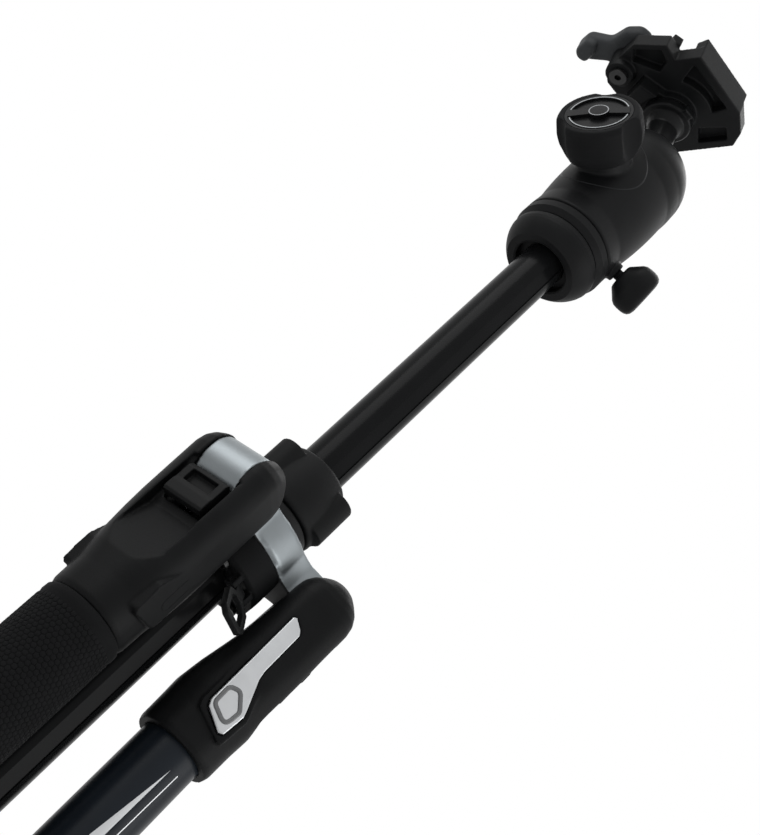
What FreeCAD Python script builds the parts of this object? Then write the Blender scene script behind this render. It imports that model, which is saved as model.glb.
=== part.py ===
import FreeCAD, Part
import math
import os
import Sketcher

# A travel tripod with a ball head, standing on its rubber feet with the legs folded down
# and the centre column raised. The column axis is +Z and the origin lies on the floor under it.

# Driving sizes in millimetres and degrees
SIZES = {
    # legs and hinges
    "hinge_height": 377.0,
    "hinge_radius": 37.5,
    "leg_radius": 35.0,
    "leg_spacing": 120.0,
    "pin_radius": 3.0,
    "pin_half_length": 14.5,
    "lug_radius": 12.4,
    "lug_half_width": 9.2,
    "dome_radius": 13.0,
    "shoulder_half_width": 17.9,
    "flank_half_width": 17.3,
    "shoulder_length": 71.5,
    "socket_depth": 24.0,
    "tube_1_radius": 12.5,
    "tube_wall": 1.2,
    "tube_gap": 0.3,
    "tube_top_step": 2.0,
    "lock_height": 30.0,
    "lock_gap": 1.0,
    "lock_lip": 6.0,
    "lock_wall": 2.9,
    "foot_height": 29.0,
    "foot_radius": 11.5,
    "foot_floor": 6.0,
    "foot_round": 3.0,
    "grip_rise": 37.0,
    "grip_wall": 4.0,
    # angle lock in each shoulder
    "slider_half_width": 8.6,
    "slider_height": 14.6,
    "slider_depth": 6.6,
    "slider_travel": 5.0,
    "slider_drop": 9.4,
    "slider_ledge": 5.0,
    "slider_window": 4.6,
    "spring_length": 16.0,
    "spring_radius": 2.2,
    # inlaid plate on each shoulder's flank
    "plate_thickness": 2.2,
    "plate_proud": 0.9,
    # spider
    "crown_height": 14.5,
    "crown_drop": 4.0,
    "crown_radius": 21.8,
    "spider_body_height": 13.0,
    "spider_body_radius": 21.2,
    "spider_flat": 19.4,
    "screw_radius": 2.0,
    "screw_head_radius": 2.9,
    "screw_head_height": 1.8,
    "screw_length": 16.0,
    "screw_circle": 16.5,
    "screw_turn": 30.0,
    "neck_radius": 17.0,
    "neck_height": 5.5,
    "sleeve_radius": 12.2,
    "sleeve_height": 21.0,
    "loop_circle": 18.5,
    "loop_turn": 306.0,
    "loop_swing": 38.0,
    "loop_width": 15.0,
    "loop_drop": 18.0,
    "loop_thickness": 2.4,
    "loop_bar": 2.8,
    "loop_pin_radius": 1.3,
    # column and its lock collar
    "column_radius": 10.0,
    "column_wall": 1.4,
    "column_foot": 239.0,
    "groove_width": 6.0,
    "groove_depth": 1.0,
    "groove_turn": 300.0,
    "cap_height": 4.0,
    "collar_height": 25.0,
    "collar_radius": 18.0,
    "collar_top_radius": 15.0,
    "wing_radius": 6.4,
    "wing_reach": 14.9,
    "wing_turn": 215.0,
    # head
    "head_base": 570.0,
    "head_base_height": 12.0,
    "head_base_radius": 22.6,
    "head_base_foot_radius": 17.4,
    "head_recess_radius": 13.2,
    "head_recess_depth": 4.0,
    "stud_radius": 4.76,
    "stud_length": 9.0,
    "pan_base_height": 7.0,
    "pan_base_radius": 23.7,
    "pan_boss_radius": 11.0,
    "pan_boss_height": 9.0,
    "housing_radius": 25.0,
    "housing_waist": 23.2,
    "rim_radius": 17.6,
    "ball_radius": 17.0,
    "ball_rise": 33.0,
    "rim_rise": 6.0,
    "ball_gap": 0.1,
    "cup_radius": 14.0,
    "knob_rise": 36.0,
    "knob_turn": 228.0,
    "knob_radius": 19.5,
    "knob_reach": 48.0,
    "knob_flute_radius": 10.0,
    "knob_flute_depth": 3.5,
    "knob_flute_count": 3.0,
    "knob_flute_turn": 82.0,
    "knob_boss_radius": 13.0,
    "knob_boss_reach": 27.0,
    "knob_shaft_radius": 4.0,
    "knob_face_radius": 15.2,
    "knob_ring_radius": 13.6,
    "knob_ring_width": 0.9,
    "pan_knob_rise": 8.5,
    "pan_knob_turn": 352.0,
    "pan_knob_reach": 43.0,
    "pan_knob_length": 15.0,
    "pan_knob_radius": 8.0,
    "pan_knob_wing": 11.5,
    "pan_shaft_radius": 2.5,
    # stem and quick release clamp
    "stem_tilt": 17.0,
    "stem_radius": 7.5,
    "stem_ring_radius": 12.5,
    "stem_ring_foot": 32.0,
    "stem_ring_height": 5.0,
    "stem_pin_radius": 5.0,
    "clamp_foot": 42.0,
    "clamp_floor": 8.0,
    "clamp_jaw": 6.0,
    "clamp_seat": 0.5,
    "lever_pivot_x": -32.0,
    "lever_pivot_y": -3.0,
    "lever_boss_radius": 7.0,
    "lever_pin_radius": 3.0,
    "lever_height": 7.0,
    # clearances
    "running_gap": 0.06,
    "seat_gap": 0.03,
    "face_gap": 0.3,
}

LEGS = {"b": 0, "c": 1, "a": 2}

doc = FreeCAD.newDocument("tripod")
sheet = doc.addObject("Spreadsheet::Sheet", "Sizes")
for row, (alias, number) in enumerate(SIZES.items(), start=1):
    sheet.set("A%d" % row, alias)
    sheet.set("B%d" % row, str(number))
    sheet.setAlias("B%d" % row, alias)
doc.recompute()


class Size:
    """A size that carries its formula on the sheet beside its value."""

    def __init__(self, formula, number):
        self.formula = formula
        self.number = number

    def join(self, sign, other, number, swapped=False):
        left, right = self.formula, other.formula if isinstance(other, Size) else repr(float(other))
        if swapped:
            left, right = right, left
        return Size("(%s %s %s)" % (left, sign, right), number)

    def __add__(self, other):
        return self.join("+", other, self.number + plain(other))

    def __radd__(self, other):
        return self.join("+", other, plain(other) + self.number, True)

    def __sub__(self, other):
        return self.join("-", other, self.number - plain(other))

    def __rsub__(self, other):
        return self.join("-", other, plain(other) - self.number, True)

    def __mul__(self, other):
        return self.join("*", other, self.number * plain(other))

    def __rmul__(self, other):
        return self.join("*", other, plain(other) * self.number, True)

    def __truediv__(self, other):
        return self.join("/", other, self.number / plain(other))

    def __neg__(self):
        return 0.0 - self


class Sheet:
    """Gives each named size of the sheet as an attribute."""

    def __getattr__(self, alias):
        return Size("Sizes." + alias, float(sheet.get(alias)))


size = Sheet()


def plain(value):
    """The number behind a size, or the number itself."""
    return value.number if isinstance(value, Size) else float(value)


def bind(thing, prop, value):
    """Ties a property to the sheet, or sets it where it is a bare number."""
    if isinstance(value, Size):
        thing.setExpression(prop, value.formula)
    else:
        setattr(thing, prop, value)


# Helpers for turned, padded and joined pieces

def vector(x, y, z=0.0):
    return FreeCAD.Vector(plain(x), plain(y), plain(z))


def origin_plane(body, role):
    return next(plane for plane in body.Origin.OriginFeatures if plane.Role == role)


def hold_point(sketch, line, spot, x, y):
    """Fixes one end of a sketch line at sheet driven coordinates."""
    for axis, kind, value in ((-2, "DistanceX", x), (-1, "DistanceY", y)):
        if abs(plain(value)) < 1e-9:
            sketch.addConstraint(Sketcher.Constraint("PointOnObject", line, spot, axis))
            continue
        number = sketch.addConstraint(Sketcher.Constraint(kind, -1, 1, line, spot, plain(value)))
        if isinstance(value, Size):
            sketch.setExpression("Constraints[%d]" % number, value.formula)


def outline(sketch, points):
    """Draws a closed outline. A point is (x, y), or (x, y, bulge) for an arc on the way to the next:
    bulge is the arc's rise over half its chord, positive to the right of the way."""
    count = len(points)
    for index, point in enumerate(points):
        after = points[(index + 1) % count]
        start, end = vector(point[0], point[1]), vector(after[0], after[1])
        if len(point) == 2:
            sketch.addGeometry(Part.LineSegment(start, end), False)
            hold_point(sketch, index, 1, point[0], point[1])
            hold_point(sketch, index, 2, after[0], after[1])
            continue
        chord = end - start
        side = FreeCAD.Vector(chord.y, -chord.x, 0) * (0.5 * point[2])
        middle = (start + end) * 0.5 + side
        ends = (start, end) if point[2] > 0 else (end, start)
        sketch.addGeometry(Part.Arc(ends[0], middle, ends[1]), False)
        first, last = (1, 2) if sketch.Geometry[index].StartPoint.isEqual(start, 1e-6) else (2, 1)
        hold_point(sketch, index, first, point[0], point[1])
        hold_point(sketch, index, last, after[0], after[1])
        bend = (1.0 + point[2] ** 2) / (4.0 * abs(point[2]))
        if abs(chord.x) < 1e-9:
            length = after[1] - point[1] if chord.y > 0 else point[1] - after[1]
            radius = length * bend if isinstance(length, Size) else None
        elif abs(chord.y) < 1e-9:
            length = after[0] - point[0] if chord.x > 0 else point[0] - after[0]
            radius = length * bend if isinstance(length, Size) else None
        else:
            radius = None
        number = sketch.addConstraint(Sketcher.Constraint("Radius", index, chord.Length * bend))
        if radius is not None:
            sketch.setExpression("Constraints[%d]" % number, radius.formula)
        else:
            tie_radius(sketch, number, point, after, bend)


def tie_radius(sketch, number, point, after, bend):
    """Ties an arc's radius to the places of both its ends."""
    run = after[0] - point[0]
    rise = after[1] - point[1]
    if isinstance(run, Size) or isinstance(rise, Size):
        run_text = run.formula if isinstance(run, Size) else repr(float(run))
        rise_text = rise.formula if isinstance(rise, Size) else repr(float(rise))
        formula = "sqrt((%s) ^ 2 + (%s) ^ 2) * %r" % (run_text, rise_text, bend)
        sketch.setExpression("Constraints[%d]" % number, formula)


def lathe(name, points):
    """A turned piece round the Z axis, from an outline of (radius, height) points."""
    body = doc.addObject("PartDesign::Body", name)
    sketch = body.newObject("Sketcher::SketchObject", name + "_profile")
    sketch.AttachmentSupport = (origin_plane(body, "XZ_Plane"), [""])
    sketch.MapMode = "FlatFace"
    outline(sketch, points)
    doc.recompute()
    turn = body.newObject("PartDesign::Revolution", name + "_turning")
    turn.Profile = sketch
    turn.ReferenceAxis = (sketch, ["V_Axis"])
    turn.Angle = 360.0
    doc.recompute()
    return body


def pad(name, points, foot, height):
    """A flat piece: an outline in plan, raised by its foot and as thick as its height."""
    body = doc.addObject("PartDesign::Body", name)
    sketch = body.newObject("Sketcher::SketchObject", name + "_plan")
    sketch.AttachmentSupport = (origin_plane(body, "XY_Plane"), [""])
    sketch.MapMode = "FlatFace"
    outline(sketch, points)
    doc.recompute()
    block = body.newObject("PartDesign::Pad", name + "_pad")
    block.Profile = sketch
    bind(block, "Length", height)
    doc.recompute()
    bind_place(body, 0.0, 0.0, foot)
    return body


def bind_place(thing, x, y, z):
    for axis, value in (("x", x), ("y", y), ("z", z)):
        if isinstance(value, Size):
            thing.setExpression("Placement.Base." + axis, value.formula)
        elif value:
            base = thing.Placement.Base
            setattr(base, axis, float(value))
            thing.Placement = FreeCAD.Placement(base, thing.Placement.Rotation)


def rod(name, radius, height, x=0.0, y=0.0, z=0.0, turn=None):
    """A plain round bar. The turn is (axis, degrees) and comes before the move."""
    bar = doc.addObject("Part::Cylinder", name)
    bind(bar, "Radius", radius)
    bind(bar, "Height", height)
    if turn:
        bar.Placement = FreeCAD.Placement(FreeCAD.Vector(), FreeCAD.Rotation(turn[0], turn[1]))
    bind_place(bar, x, y, z)
    return bar


def slab(name, length, width, height, x=0.0, y=0.0, z=0.0):
    """A box with its lowest corner at x, y, z."""
    block = doc.addObject("Part::Box", name)
    bind(block, "Length", length)
    bind(block, "Width", width)
    bind(block, "Height", height)
    bind_place(block, x, y, z)
    return block


def ball(name, radius, x=0.0, y=0.0, z=0.0):
    sphere = doc.addObject("Part::Sphere", name)
    bind(sphere, "Radius", radius)
    bind_place(sphere, x, y, z)
    return sphere


def turned(thing, degrees, name):
    """A copy of a tool turned about the Z axis by a fixed angle or a sheet angle."""
    holder = doc.addObject("Part::Compound", name)
    holder.Links = [thing]
    holder.Placement = FreeCAD.Placement(FreeCAD.Vector(), FreeCAD.Rotation(FreeCAD.Vector(0, 0, 1), 0.0))
    if isinstance(degrees, Size):
        holder.setExpression("Placement.Rotation.Angle", degrees.formula)
        return holder
    rotation = FreeCAD.Rotation(FreeCAD.Vector(0, 0, 1), float(degrees))
    holder.Placement = FreeCAD.Placement(FreeCAD.Vector(), rotation)
    return holder


def fuse(name, things):
    joined = doc.addObject("Part::MultiFuse", name)
    joined.Shapes = things
    return joined


def cut(name, base, tools):
    """Takes the tools out of the base."""
    removed = tools[0] if len(tools) == 1 else fuse(name + "_cutters", tools)
    left = doc.addObject("Part::Cut", name)
    left.Base = base
    left.Tool = removed
    return left


def carve(name, base, tools):
    """Takes the tools out of the base one after another."""
    left = base
    for step, tool in enumerate(tools):
        before = left
        left = doc.addObject("Part::Cut", "%s_%d" % (name, step))
        left.Base = before
        left.Tool = tool
    return left


def common(name, first, second):
    both = doc.addObject("Part::Common", name)
    both.Base = first
    both.Tool = second
    return both


def solid_of(name, shape):
    """A piece whose shape comes from the geometry functions."""
    feature = doc.addObject("Part::Feature", name)
    feature.Shape = shape
    return feature


PIECES = []


def piece(thing, label, degrees=0.0):
    """Marks a finished piece: its label is its file's name, and it may be turned about the column."""
    thing.Label = label
    if degrees:
        rotation = FreeCAD.Rotation(FreeCAD.Vector(0, 0, 1), degrees)
        turn = FreeCAD.Placement(FreeCAD.Vector(), rotation)
        thing.Placement = turn.multiply(thing.Placement)
    PIECES.append(thing)
    return thing


X_AXIS = FreeCAD.Vector(1, 0, 0)
Y_AXIS = FreeCAD.Vector(0, 1, 0)
ALONG_Y = (X_AXIS, -90)
ALONG_X = (Y_AXIS, 90)


def placed(name, thing, axis, angle, x=0.0, y=0.0, z=0.0):
    """The thing turned about an axis through the origin, then moved."""
    holder = doc.addObject("Part::Compound", name)
    holder.Links = [thing]
    holder.Placement = FreeCAD.Placement(FreeCAD.Vector(), FreeCAD.Rotation(axis, plain(angle)))
    if isinstance(angle, Size):
        holder.setExpression("Placement.Rotation.Angle", angle.formula)
    bind_place(holder, x, y, z)
    return holder


def side_pad(name, points, half_width, middle=0.0):
    """A flat piece seen from the side: its outline is in x and z, and it is as thick across
    as twice the half width, about y = middle."""
    body = pad(name, points, 0.0, half_width * 2)
    body.Placement = FreeCAD.Placement(FreeCAD.Vector(), FreeCAD.Rotation(X_AXIS, 90))
    bind_place(body, 0.0, middle + half_width, 0.0)
    return body


def tube(name, inner, outer, foot, top):
    return lathe(name, [(inner, foot), (outer, foot), (outer, top), (inner, top)])


# Heights that several pieces share
shoulder_foot = size.hinge_height - size.shoulder_length
socket_top = shoulder_foot + size.socket_depth
crown_foot = size.hinge_height - size.crown_drop
crown_top = crown_foot + size.crown_height
spider_foot = crown_foot - size.spider_body_height
neck_top = crown_top + size.neck_height
column_bore = size.column_radius + size.face_gap
head_floor = size.head_base + size.head_base_height
tube_floor = head_floor - 3.0
pan_top = head_floor + size.pan_base_height
housing_foot = pan_top + size.face_gap
knob_height = pan_top + size.knob_rise
ball_height = knob_height + size.ball_rise
pan_knob_height = pan_top + size.pan_knob_rise
housing_top = ball_height + size.rim_rise


# Legs, each built once on +X and repeated round the column

def tube_radius(number):
    """Each section slides inside the one above it."""
    radius = size.tube_1_radius
    for _ in range(number - 1):
        radius = radius - size.tube_wall - size.tube_gap
    return radius


def lock_foot(number):
    return size.foot_height + size.lock_gap + (size.lock_height + size.lock_gap) * (3 - number)


def leg_tube(number):
    foot = size.foot_floor if number == 4 else lock_foot(number) + size.lock_lip
    top = socket_top - size.tube_top_step * (number - 1)
    radius = tube_radius(number)
    body = tube("leg_tube_%d" % number, radius - size.tube_wall, radius, foot, top)
    bind_place(body, size.leg_radius, 0.0, 0.0)
    return body


def twist_lock(number):
    """A collar round the end of one tube, whose lip closes on the next."""
    foot = lock_foot(number)
    top = foot + size.lock_height
    bore = tube_radius(number) + size.face_gap
    lip_bore = tube_radius(number + 1) + size.face_gap
    outer = bore + size.lock_wall
    lip_top = foot + size.lock_lip - size.face_gap
    body = lathe("twist_lock_%d" % number, [
        (lip_bore, foot), (outer - 1.6, foot), (outer, foot + 2.0), (outer, foot + 20.0),
        (outer - 0.7, foot + 21.0), (outer - 0.7, foot + 22.5), (outer, foot + 23.5), (outer, top - 1.0),
        (outer - 1.0, top), (bore, top), (bore, lip_top), (lip_bore, lip_top)])
    bind_place(body, size.leg_radius, 0.0, 0.0)
    return body


def foot_pad():
    bore = tube_radius(4) + size.seat_gap
    body = lathe("rubber_foot", [
        (0.0, 0.0), (size.foot_radius - size.foot_round, 0.0, 0.4), (size.foot_radius, size.foot_round),
        (size.foot_radius, 14.0), (size.foot_radius - 1.2, 17.0),
        (size.foot_radius - 1.2, size.foot_height - 1.0),
        (size.foot_radius - 2.0, size.foot_height), (bore, size.foot_height), (bore, size.foot_floor),
        (0.0, size.foot_floor)])
    bind_place(body, size.leg_radius, 0.0, 0.0)
    return body


def grip_sleeve():
    inner = size.tube_1_radius + size.seat_gap
    outer = size.tube_1_radius + size.grip_wall
    top = shoulder_foot - 0.2
    foot = lock_foot(1) + size.lock_height + size.grip_rise
    body = lathe("grip_sleeve", [
        (inner, foot), (outer - 1.5, foot), (outer, foot + 1.5), (outer, top - 1.0), (outer - 0.6, top),
        (inner, top)])
    bind_place(body, size.leg_radius, 0.0, 0.0)
    return body


def rounded_section(middle, half_length, half_width, corner, height):
    """A rounded rectangle in plan, centred on (middle, 0)."""
    left, right = middle - half_length, middle + half_length
    back, front = -half_width, half_width
    slant = corner * (1 - math.sqrt(0.5))
    spots = [
        ((right, back + corner), (right, front - corner), (right - slant, front - slant),
         (right - corner, front)),
        ((right - corner, front), (left + corner, front), (left + slant, front - slant),
         (left, front - corner)),
        ((left, front - corner), (left, back + corner), (left + slant, back + slant),
         (left + corner, back)),
        ((left + corner, back), (right - corner, back), (right - slant, back + slant),
         (right, back + corner)),
    ]
    edges = []
    for start, end, bend, finish in spots:
        start, end = vector(start[0], start[1], height), vector(end[0], end[1], height)
        bend, finish = vector(bend[0], bend[1], height), vector(finish[0], finish[1], height)
        edges.append(Part.LineSegment(start, end).toShape())
        edges.append(Part.Arc(end, bend, finish).toShape())
    return Part.Wire(edges)


def shoulder_blank():
    """The cast shoulder's outer form: round where it takes the tube, square shouldered above,
    and domed about the hinge."""
    hinge = plain(size.hinge_height)
    foot = plain(shoulder_foot)
    reach = plain(size.hinge_radius)
    tube_line = plain(size.leg_radius)
    wide = plain(size.shoulder_half_width)
    dome = plain(size.dome_radius)
    sections = [
        rounded_section(tube_line, 15.1, 15.1, 13.6, foot),
        rounded_section(tube_line, 15.7, 15.7, 14.0, foot + 2.0),
        rounded_section(tube_line, 15.9, 15.9, 14.0, foot + 12.0),
        rounded_section(tube_line + 0.1, 16.2, wide - 1.2, 13.0, foot + 20.0),
        rounded_section(tube_line + 0.4, 15.6, wide - 0.7, 11.8, foot + 28.0),
        rounded_section(tube_line + 1.0, 14.8, wide - 0.3, 10.6, foot + 36.0),
        rounded_section(tube_line + 1.7, 14.0, wide - 0.1, 9.6, foot + 45.0),
        rounded_section(reach - 0.4, dome + 0.3, wide, 8.6, hinge - 14.0),
        rounded_section(reach, dome, wide, 8.0, hinge),
    ]
    for rise, shrink in ((0.3, 0.3), (0.55, 1.0), (0.75, 2.1), (0.88, 3.5), (0.96, 5.2), (0.992, 7.0)):
        half = dome * math.sqrt(1 - rise ** 2)
        sections.append(rounded_section(reach, half, wide - shrink, min(8.0, half * 0.9),
                                        hinge + dome * rise))
    return solid_of("shoulder_blank", Part.makeLoft(sections, True, True))


def inlay_outline(inset):
    """The plate on the flank: narrow beside the hinge, with a kink to its wide end."""
    hinge = size.hinge_height
    reach = size.hinge_radius
    return [
        (reach - 6.4 + inset, hinge - 12.4 - inset), (reach - 6.6 + inset, hinge - 54.8 + inset),
        (reach - 5.4 + inset, hinge - 57.2 + inset), (reach + 3.4 - inset, hinge - 61.2 + inset),
        (reach + 5.3 - inset, hinge - 60.2 + inset), (reach + 6.2 - inset, hinge - 51.0),
        (reach + 5.4 - inset, hinge - 48.6), (reach + 0.9 - inset, hinge - 37.6),
        (reach + 0.3 - inset, hinge - 34.0), (reach + 0.3 - inset, hinge - 15.6 - inset),
        (reach - 0.9 - inset, hinge - 14.0 - inset), (reach - 5.2 + inset, hinge - 11.6 - inset)]


def flank_plate(name, inset, inner, outer):
    """A plate on the shoulder's flank at negative y, between two distances from its middle."""
    half = (outer - inner) / 2
    return side_pad(name, inlay_outline(inset), half, -(outer + inner) / 2)


def flank_pads():
    """The flat raised pad round the plate on each flank."""
    return side_pad("flank_pad", inlay_outline(-2.0), size.flank_half_width)


def slider_frame():
    """The sprung pull tab of the angle lock: a frame round a finger recess over a thumb ledge, hollowed
    behind to follow the hinge's lug, with a tooth there and a tail that rests on the spring."""
    hinge = size.hinge_height
    reach = size.hinge_radius
    top = hinge - size.slider_drop
    foot = top - size.slider_height
    back = reach + 6.2
    front = back + size.slider_depth
    ledge_back = reach + 9.4
    ledge_top = foot + size.slider_ledge
    frame = side_pad("slider_block", [
        (ledge_back, foot), (front - 0.2, foot), (front + 0.4, foot + 1.0), (front + 0.4, ledge_top),
        (front, ledge_top + 1.6), (front, top - 1.8), (front - 0.9, top), (reach + 9.1, top),
        (reach + 8.3, hinge - 10.3), (back, hinge - 12.0), (back, ledge_top), (ledge_back, ledge_top)],
        size.slider_half_width)
    recess = slab("slider_recess", 9.0, size.slider_half_width * 2 - size.slider_window * 1.2,
                  size.slider_height - size.slider_ledge - 4.2, front - 2.6,
                  -size.slider_half_width + size.slider_window * 0.6, ledge_top + 2.0)
    tooth = slab("slider_tooth", 1.8, 7.0, 1.2, back + 0.2, -3.5, hinge - size.lug_radius - 0.2)
    tail = slab("slider_tail", back - size.hinge_radius - 1.2, 5.2, 3.0, size.hinge_radius + 1.4, -2.6,
                ledge_top)
    return fuse("slider", [cut("slider_frame", frame, [recess]), tooth, tail])


def slider_spring():
    """The spring under the slider's tail, as the closed form that its coils fill."""
    top = size.hinge_height - size.slider_drop - size.slider_height + size.slider_ledge
    body = tube("spring_coil", size.spring_radius - 1.0, size.spring_radius, top - size.spring_length, top)
    bind_place(body, size.hinge_radius + 3.6, 0.0, 0.0)
    return body


def shoulder():
    hinge = size.hinge_height
    reach = size.hinge_radius
    slot = size.lug_half_width + size.face_gap
    swing = size.lug_radius + 0.5
    width = size.slider_half_width + size.face_gap
    slider_foot = hinge - size.slider_drop - size.slider_height
    ledge_top = slider_foot + size.slider_ledge
    pocket_foot = ledge_top - size.slider_travel - size.face_gap
    pocket_back = reach + 6.2 - size.face_gap
    spring_bore = size.spring_radius + size.face_gap
    scoop_half = size.slider_half_width + 2.4
    scoop_wedge = side_pad("scoop_wedge", [
        (reach + 15.6, shoulder_foot + 13.0), (reach + 30.0, shoulder_foot + 13.0),
        (reach + 30.0, hinge - 6.0),
        (reach + 10.6, hinge - 6.0), (reach + 7.6, hinge - 28.0)], scoop_half)
    scoop_window = fuse("scoop_window", [
        slab("scoop_run", 40.0, scoop_half * 2, 50.0, reach, -scoop_half, shoulder_foot + 27.0),
        rod("scoop_end", scoop_half, 40.0, reach, 0.0, shoulder_foot + 27.0, ALONG_X)])
    tools = [
        rod("slot_swing", swing, slot * 2, reach, -slot, hinge, ALONG_Y),
        slab("slot_inside", reach, slot * 2, 40.0, 0.0, -slot, hinge - size.crown_drop - 1.5),
        slab("slot_outside", 40.0, slot * 2, 40.0, reach, -slot, hinge - size.lug_radius + 0.2),
        rod("tube_socket", size.tube_1_radius + size.seat_gap, size.socket_depth + 1.0, size.leg_radius,
            0.0,
            shoulder_foot - 1.0),
        rod("pin_bore", size.pin_radius + size.seat_gap, (size.pin_half_length + 0.2) * 2, reach,
            -size.pin_half_length - 0.2, hinge, ALONG_Y),
        common("scoop", scoop_wedge, scoop_window),
        slab("slider_pocket", 40.0, width * 2,
             size.slider_height - size.slider_ledge + size.slider_travel + 3.0,
             pocket_back, -width, pocket_foot),
        slab("tail_pocket", 5.2, 5.2 + size.face_gap * 2, size.slider_travel + 3.0 + size.face_gap * 2,
             reach + 1.1, -2.6 - size.face_gap, pocket_foot),
        rod("spring_pocket", spring_bore, size.spring_length - size.slider_travel, reach + 3.6, 0.0,
            ledge_top - size.spring_length),
        flank_plate("inlay_pocket", 0.0, size.flank_half_width + size.plate_proud - size.plate_thickness,
                    size.flank_half_width + 6.0),
    ]
    blank = fuse("shoulder_form", [shoulder_blank(), flank_pads()])
    return carve("shoulder_casting", blank, tools)


def hinge_pin():
    return rod("hinge_pin", size.pin_radius, size.pin_half_length * 2, size.hinge_radius,
               -size.pin_half_length,
               size.hinge_height, ALONG_Y)


def repeat_on_legs(thing, label, letters="bca"):
    """Puts one copy of a leg's piece on each leg."""
    for letter in letters:
        copy = turned(thing, size.leg_spacing * LEGS[letter], "%s_on_leg_%s" % (label, letter))
        piece(copy, "%s_%s" % (label, letter))


def legs():
    repeat_on_legs(shoulder(), "shoulder")
    repeat_on_legs(hinge_pin(), "hinge_bolt")
    repeat_on_legs(slider_frame(), "angle_slider")
    repeat_on_legs(slider_spring(), "slider_spring")
    plate_outer = size.flank_half_width + size.plate_proud
    plate = flank_plate("inlay", 0.15, plate_outer - size.plate_thickness, plate_outer)
    repeat_on_legs(plate, "inlay_plate")
    for number in range(1, 5):
        repeat_on_legs(leg_tube(number), "tube_%d" % number)
    for number in range(1, 4):
        repeat_on_legs(twist_lock(number), "twist_lock_%d" % number)
    repeat_on_legs(foot_pad(), "foot")
    repeat_on_legs(grip_sleeve(), "grip", "a")


# Spider: the crown that carries the hinges, and the black body under it

def around(thing, name, count, start=0.0):
    """Copies of a tool evenly round the column."""
    return [turned(thing, start + 360.0 / count * step, "%s_%d" % (name, step)) for step in range(count)]


def spider_crown():
    hub = lathe("crown_hub", [
        (column_bore, crown_foot), (size.crown_radius - 1.6, crown_foot),
        (size.crown_radius, crown_foot + 2.0),
        (size.crown_radius, crown_top - 1.2), (size.crown_radius - 1.2, crown_top),
        (column_bore, crown_top)])
    neck = size.hinge_radius - size.dome_radius - 0.8
    root_x, root_y = size.crown_radius * 0.65, size.crown_radius * 0.735
    inner = size.column_radius + 3.0
    half = size.lug_half_width
    arm = pad("crown_arm", [
        (size.hinge_radius, -half), (size.hinge_radius, half), (neck, half, -0.16), (root_x, root_y),
        (inner, 6.0), (inner, -6.0), (root_x, -root_y, -0.16), (neck, -half)], crown_foot,
        size.crown_height)
    lug = rod("crown_lug", size.lug_radius, size.lug_half_width * 2, size.hinge_radius,
              -size.lug_half_width,
              size.hinge_height, ALONG_Y)
    bore = rod("crown_pin_bore", size.pin_radius + size.running_gap, size.lug_half_width * 2 + 2.0,
               size.hinge_radius, -size.lug_half_width - 1.0, size.hinge_height, ALONG_Y)
    thread = rod("crown_screw_hole", size.screw_radius + size.seat_gap, size.screw_length,
                 size.screw_circle, 0.0,
                 spider_foot)
    arms = around(fuse("crown_arm_and_lug", [arm, lug]), "crown_arms", 3)
    joined = fuse("crown_blank", [hub] + arms)
    holes = around(bore, "crown_pin_bores", 3) + around(thread, "crown_screw_holes", 3, size.screw_turn)
    return cut("crown", joined, holes)


def spider_body():
    ring = lathe("spider_ring", [
        (column_bore, spider_foot), (size.spider_body_radius - 1.5, spider_foot),
        (size.spider_body_radius, spider_foot + 1.5), (size.spider_body_radius, crown_foot),
        (column_bore, crown_foot)])
    flat = slab("spider_side", 20.0, 60.0, size.spider_body_height + 2.0, size.spider_flat, -30.0,
                spider_foot - 1.0)
    key = slab("spider_key", 3.0, size.groove_width - size.face_gap * 2, size.spider_body_height,
               size.column_radius - size.groove_depth + size.face_gap,
               size.face_gap - size.groove_width / 2,
               spider_foot)
    ear = slab("loop_ear", 4.8, 2.4, 5.0, size.loop_circle - 2.3, 3.0 + size.face_gap, spider_foot - 5.0)
    other_ear = slab("loop_ear_other", 4.8, 2.4, 5.0, size.loop_circle - 2.3, -5.4 - size.face_gap,
                     spider_foot - 5.0)
    loop_bore = rod("loop_bore", size.loop_pin_radius + size.running_gap, 16.0, size.loop_circle, -8.0,
                    spider_foot - 2.6, ALONG_Y)
    screw_hole = rod("spider_screw_hole", size.screw_radius + size.seat_gap, size.screw_length,
                     size.screw_circle,
                     0.0, spider_foot - 1.0)
    ears = [turned(key, size.groove_turn, "spider_key_turned")]
    ears += [turned(part, size.loop_turn, part.Name + "_turned") for part in (ear, other_ear)]
    blank = cut("spider_blank", ring, around(flat, "spider_sides", 3))
    joined = fuse("spider_joined", [blank] + ears)
    cutters = around(screw_hole, "spider_screw_holes", 3, size.screw_turn)
    cutters.append(turned(loop_bore, size.loop_turn, "loop_bore_turned"))
    return cut("spider_underside", joined, cutters)


def spider_screws():
    shank = rod("screw_shank", size.screw_radius, size.screw_length - 1.0, size.screw_circle, 0.0,
                spider_foot)
    head = rod("screw_head", size.screw_head_radius, size.screw_head_height, size.screw_circle, 0.0,
               spider_foot - size.screw_head_height)
    socket = rod("screw_socket", size.screw_radius * 0.7, size.screw_head_height, size.screw_circle, 0.0,
                 spider_foot - size.screw_head_height - 0.6)
    screw = cut("screw", fuse("screw_blank", [shank, head]), [socket])
    group = doc.addObject("Part::Compound", "spider_screw_group")
    group.Links = around(screw, "screws", 3, size.screw_turn)
    return group


def neck_ring():
    sleeve_top = neck_top + size.sleeve_height
    return lathe("neck", [
        (column_bore, crown_top), (size.neck_radius, crown_top), (size.neck_radius, neck_top - 0.8),
        (size.neck_radius - 0.8, neck_top), (size.sleeve_radius, neck_top),
        (size.sleeve_radius, sleeve_top),
        (column_bore, sleeve_top)])


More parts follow.
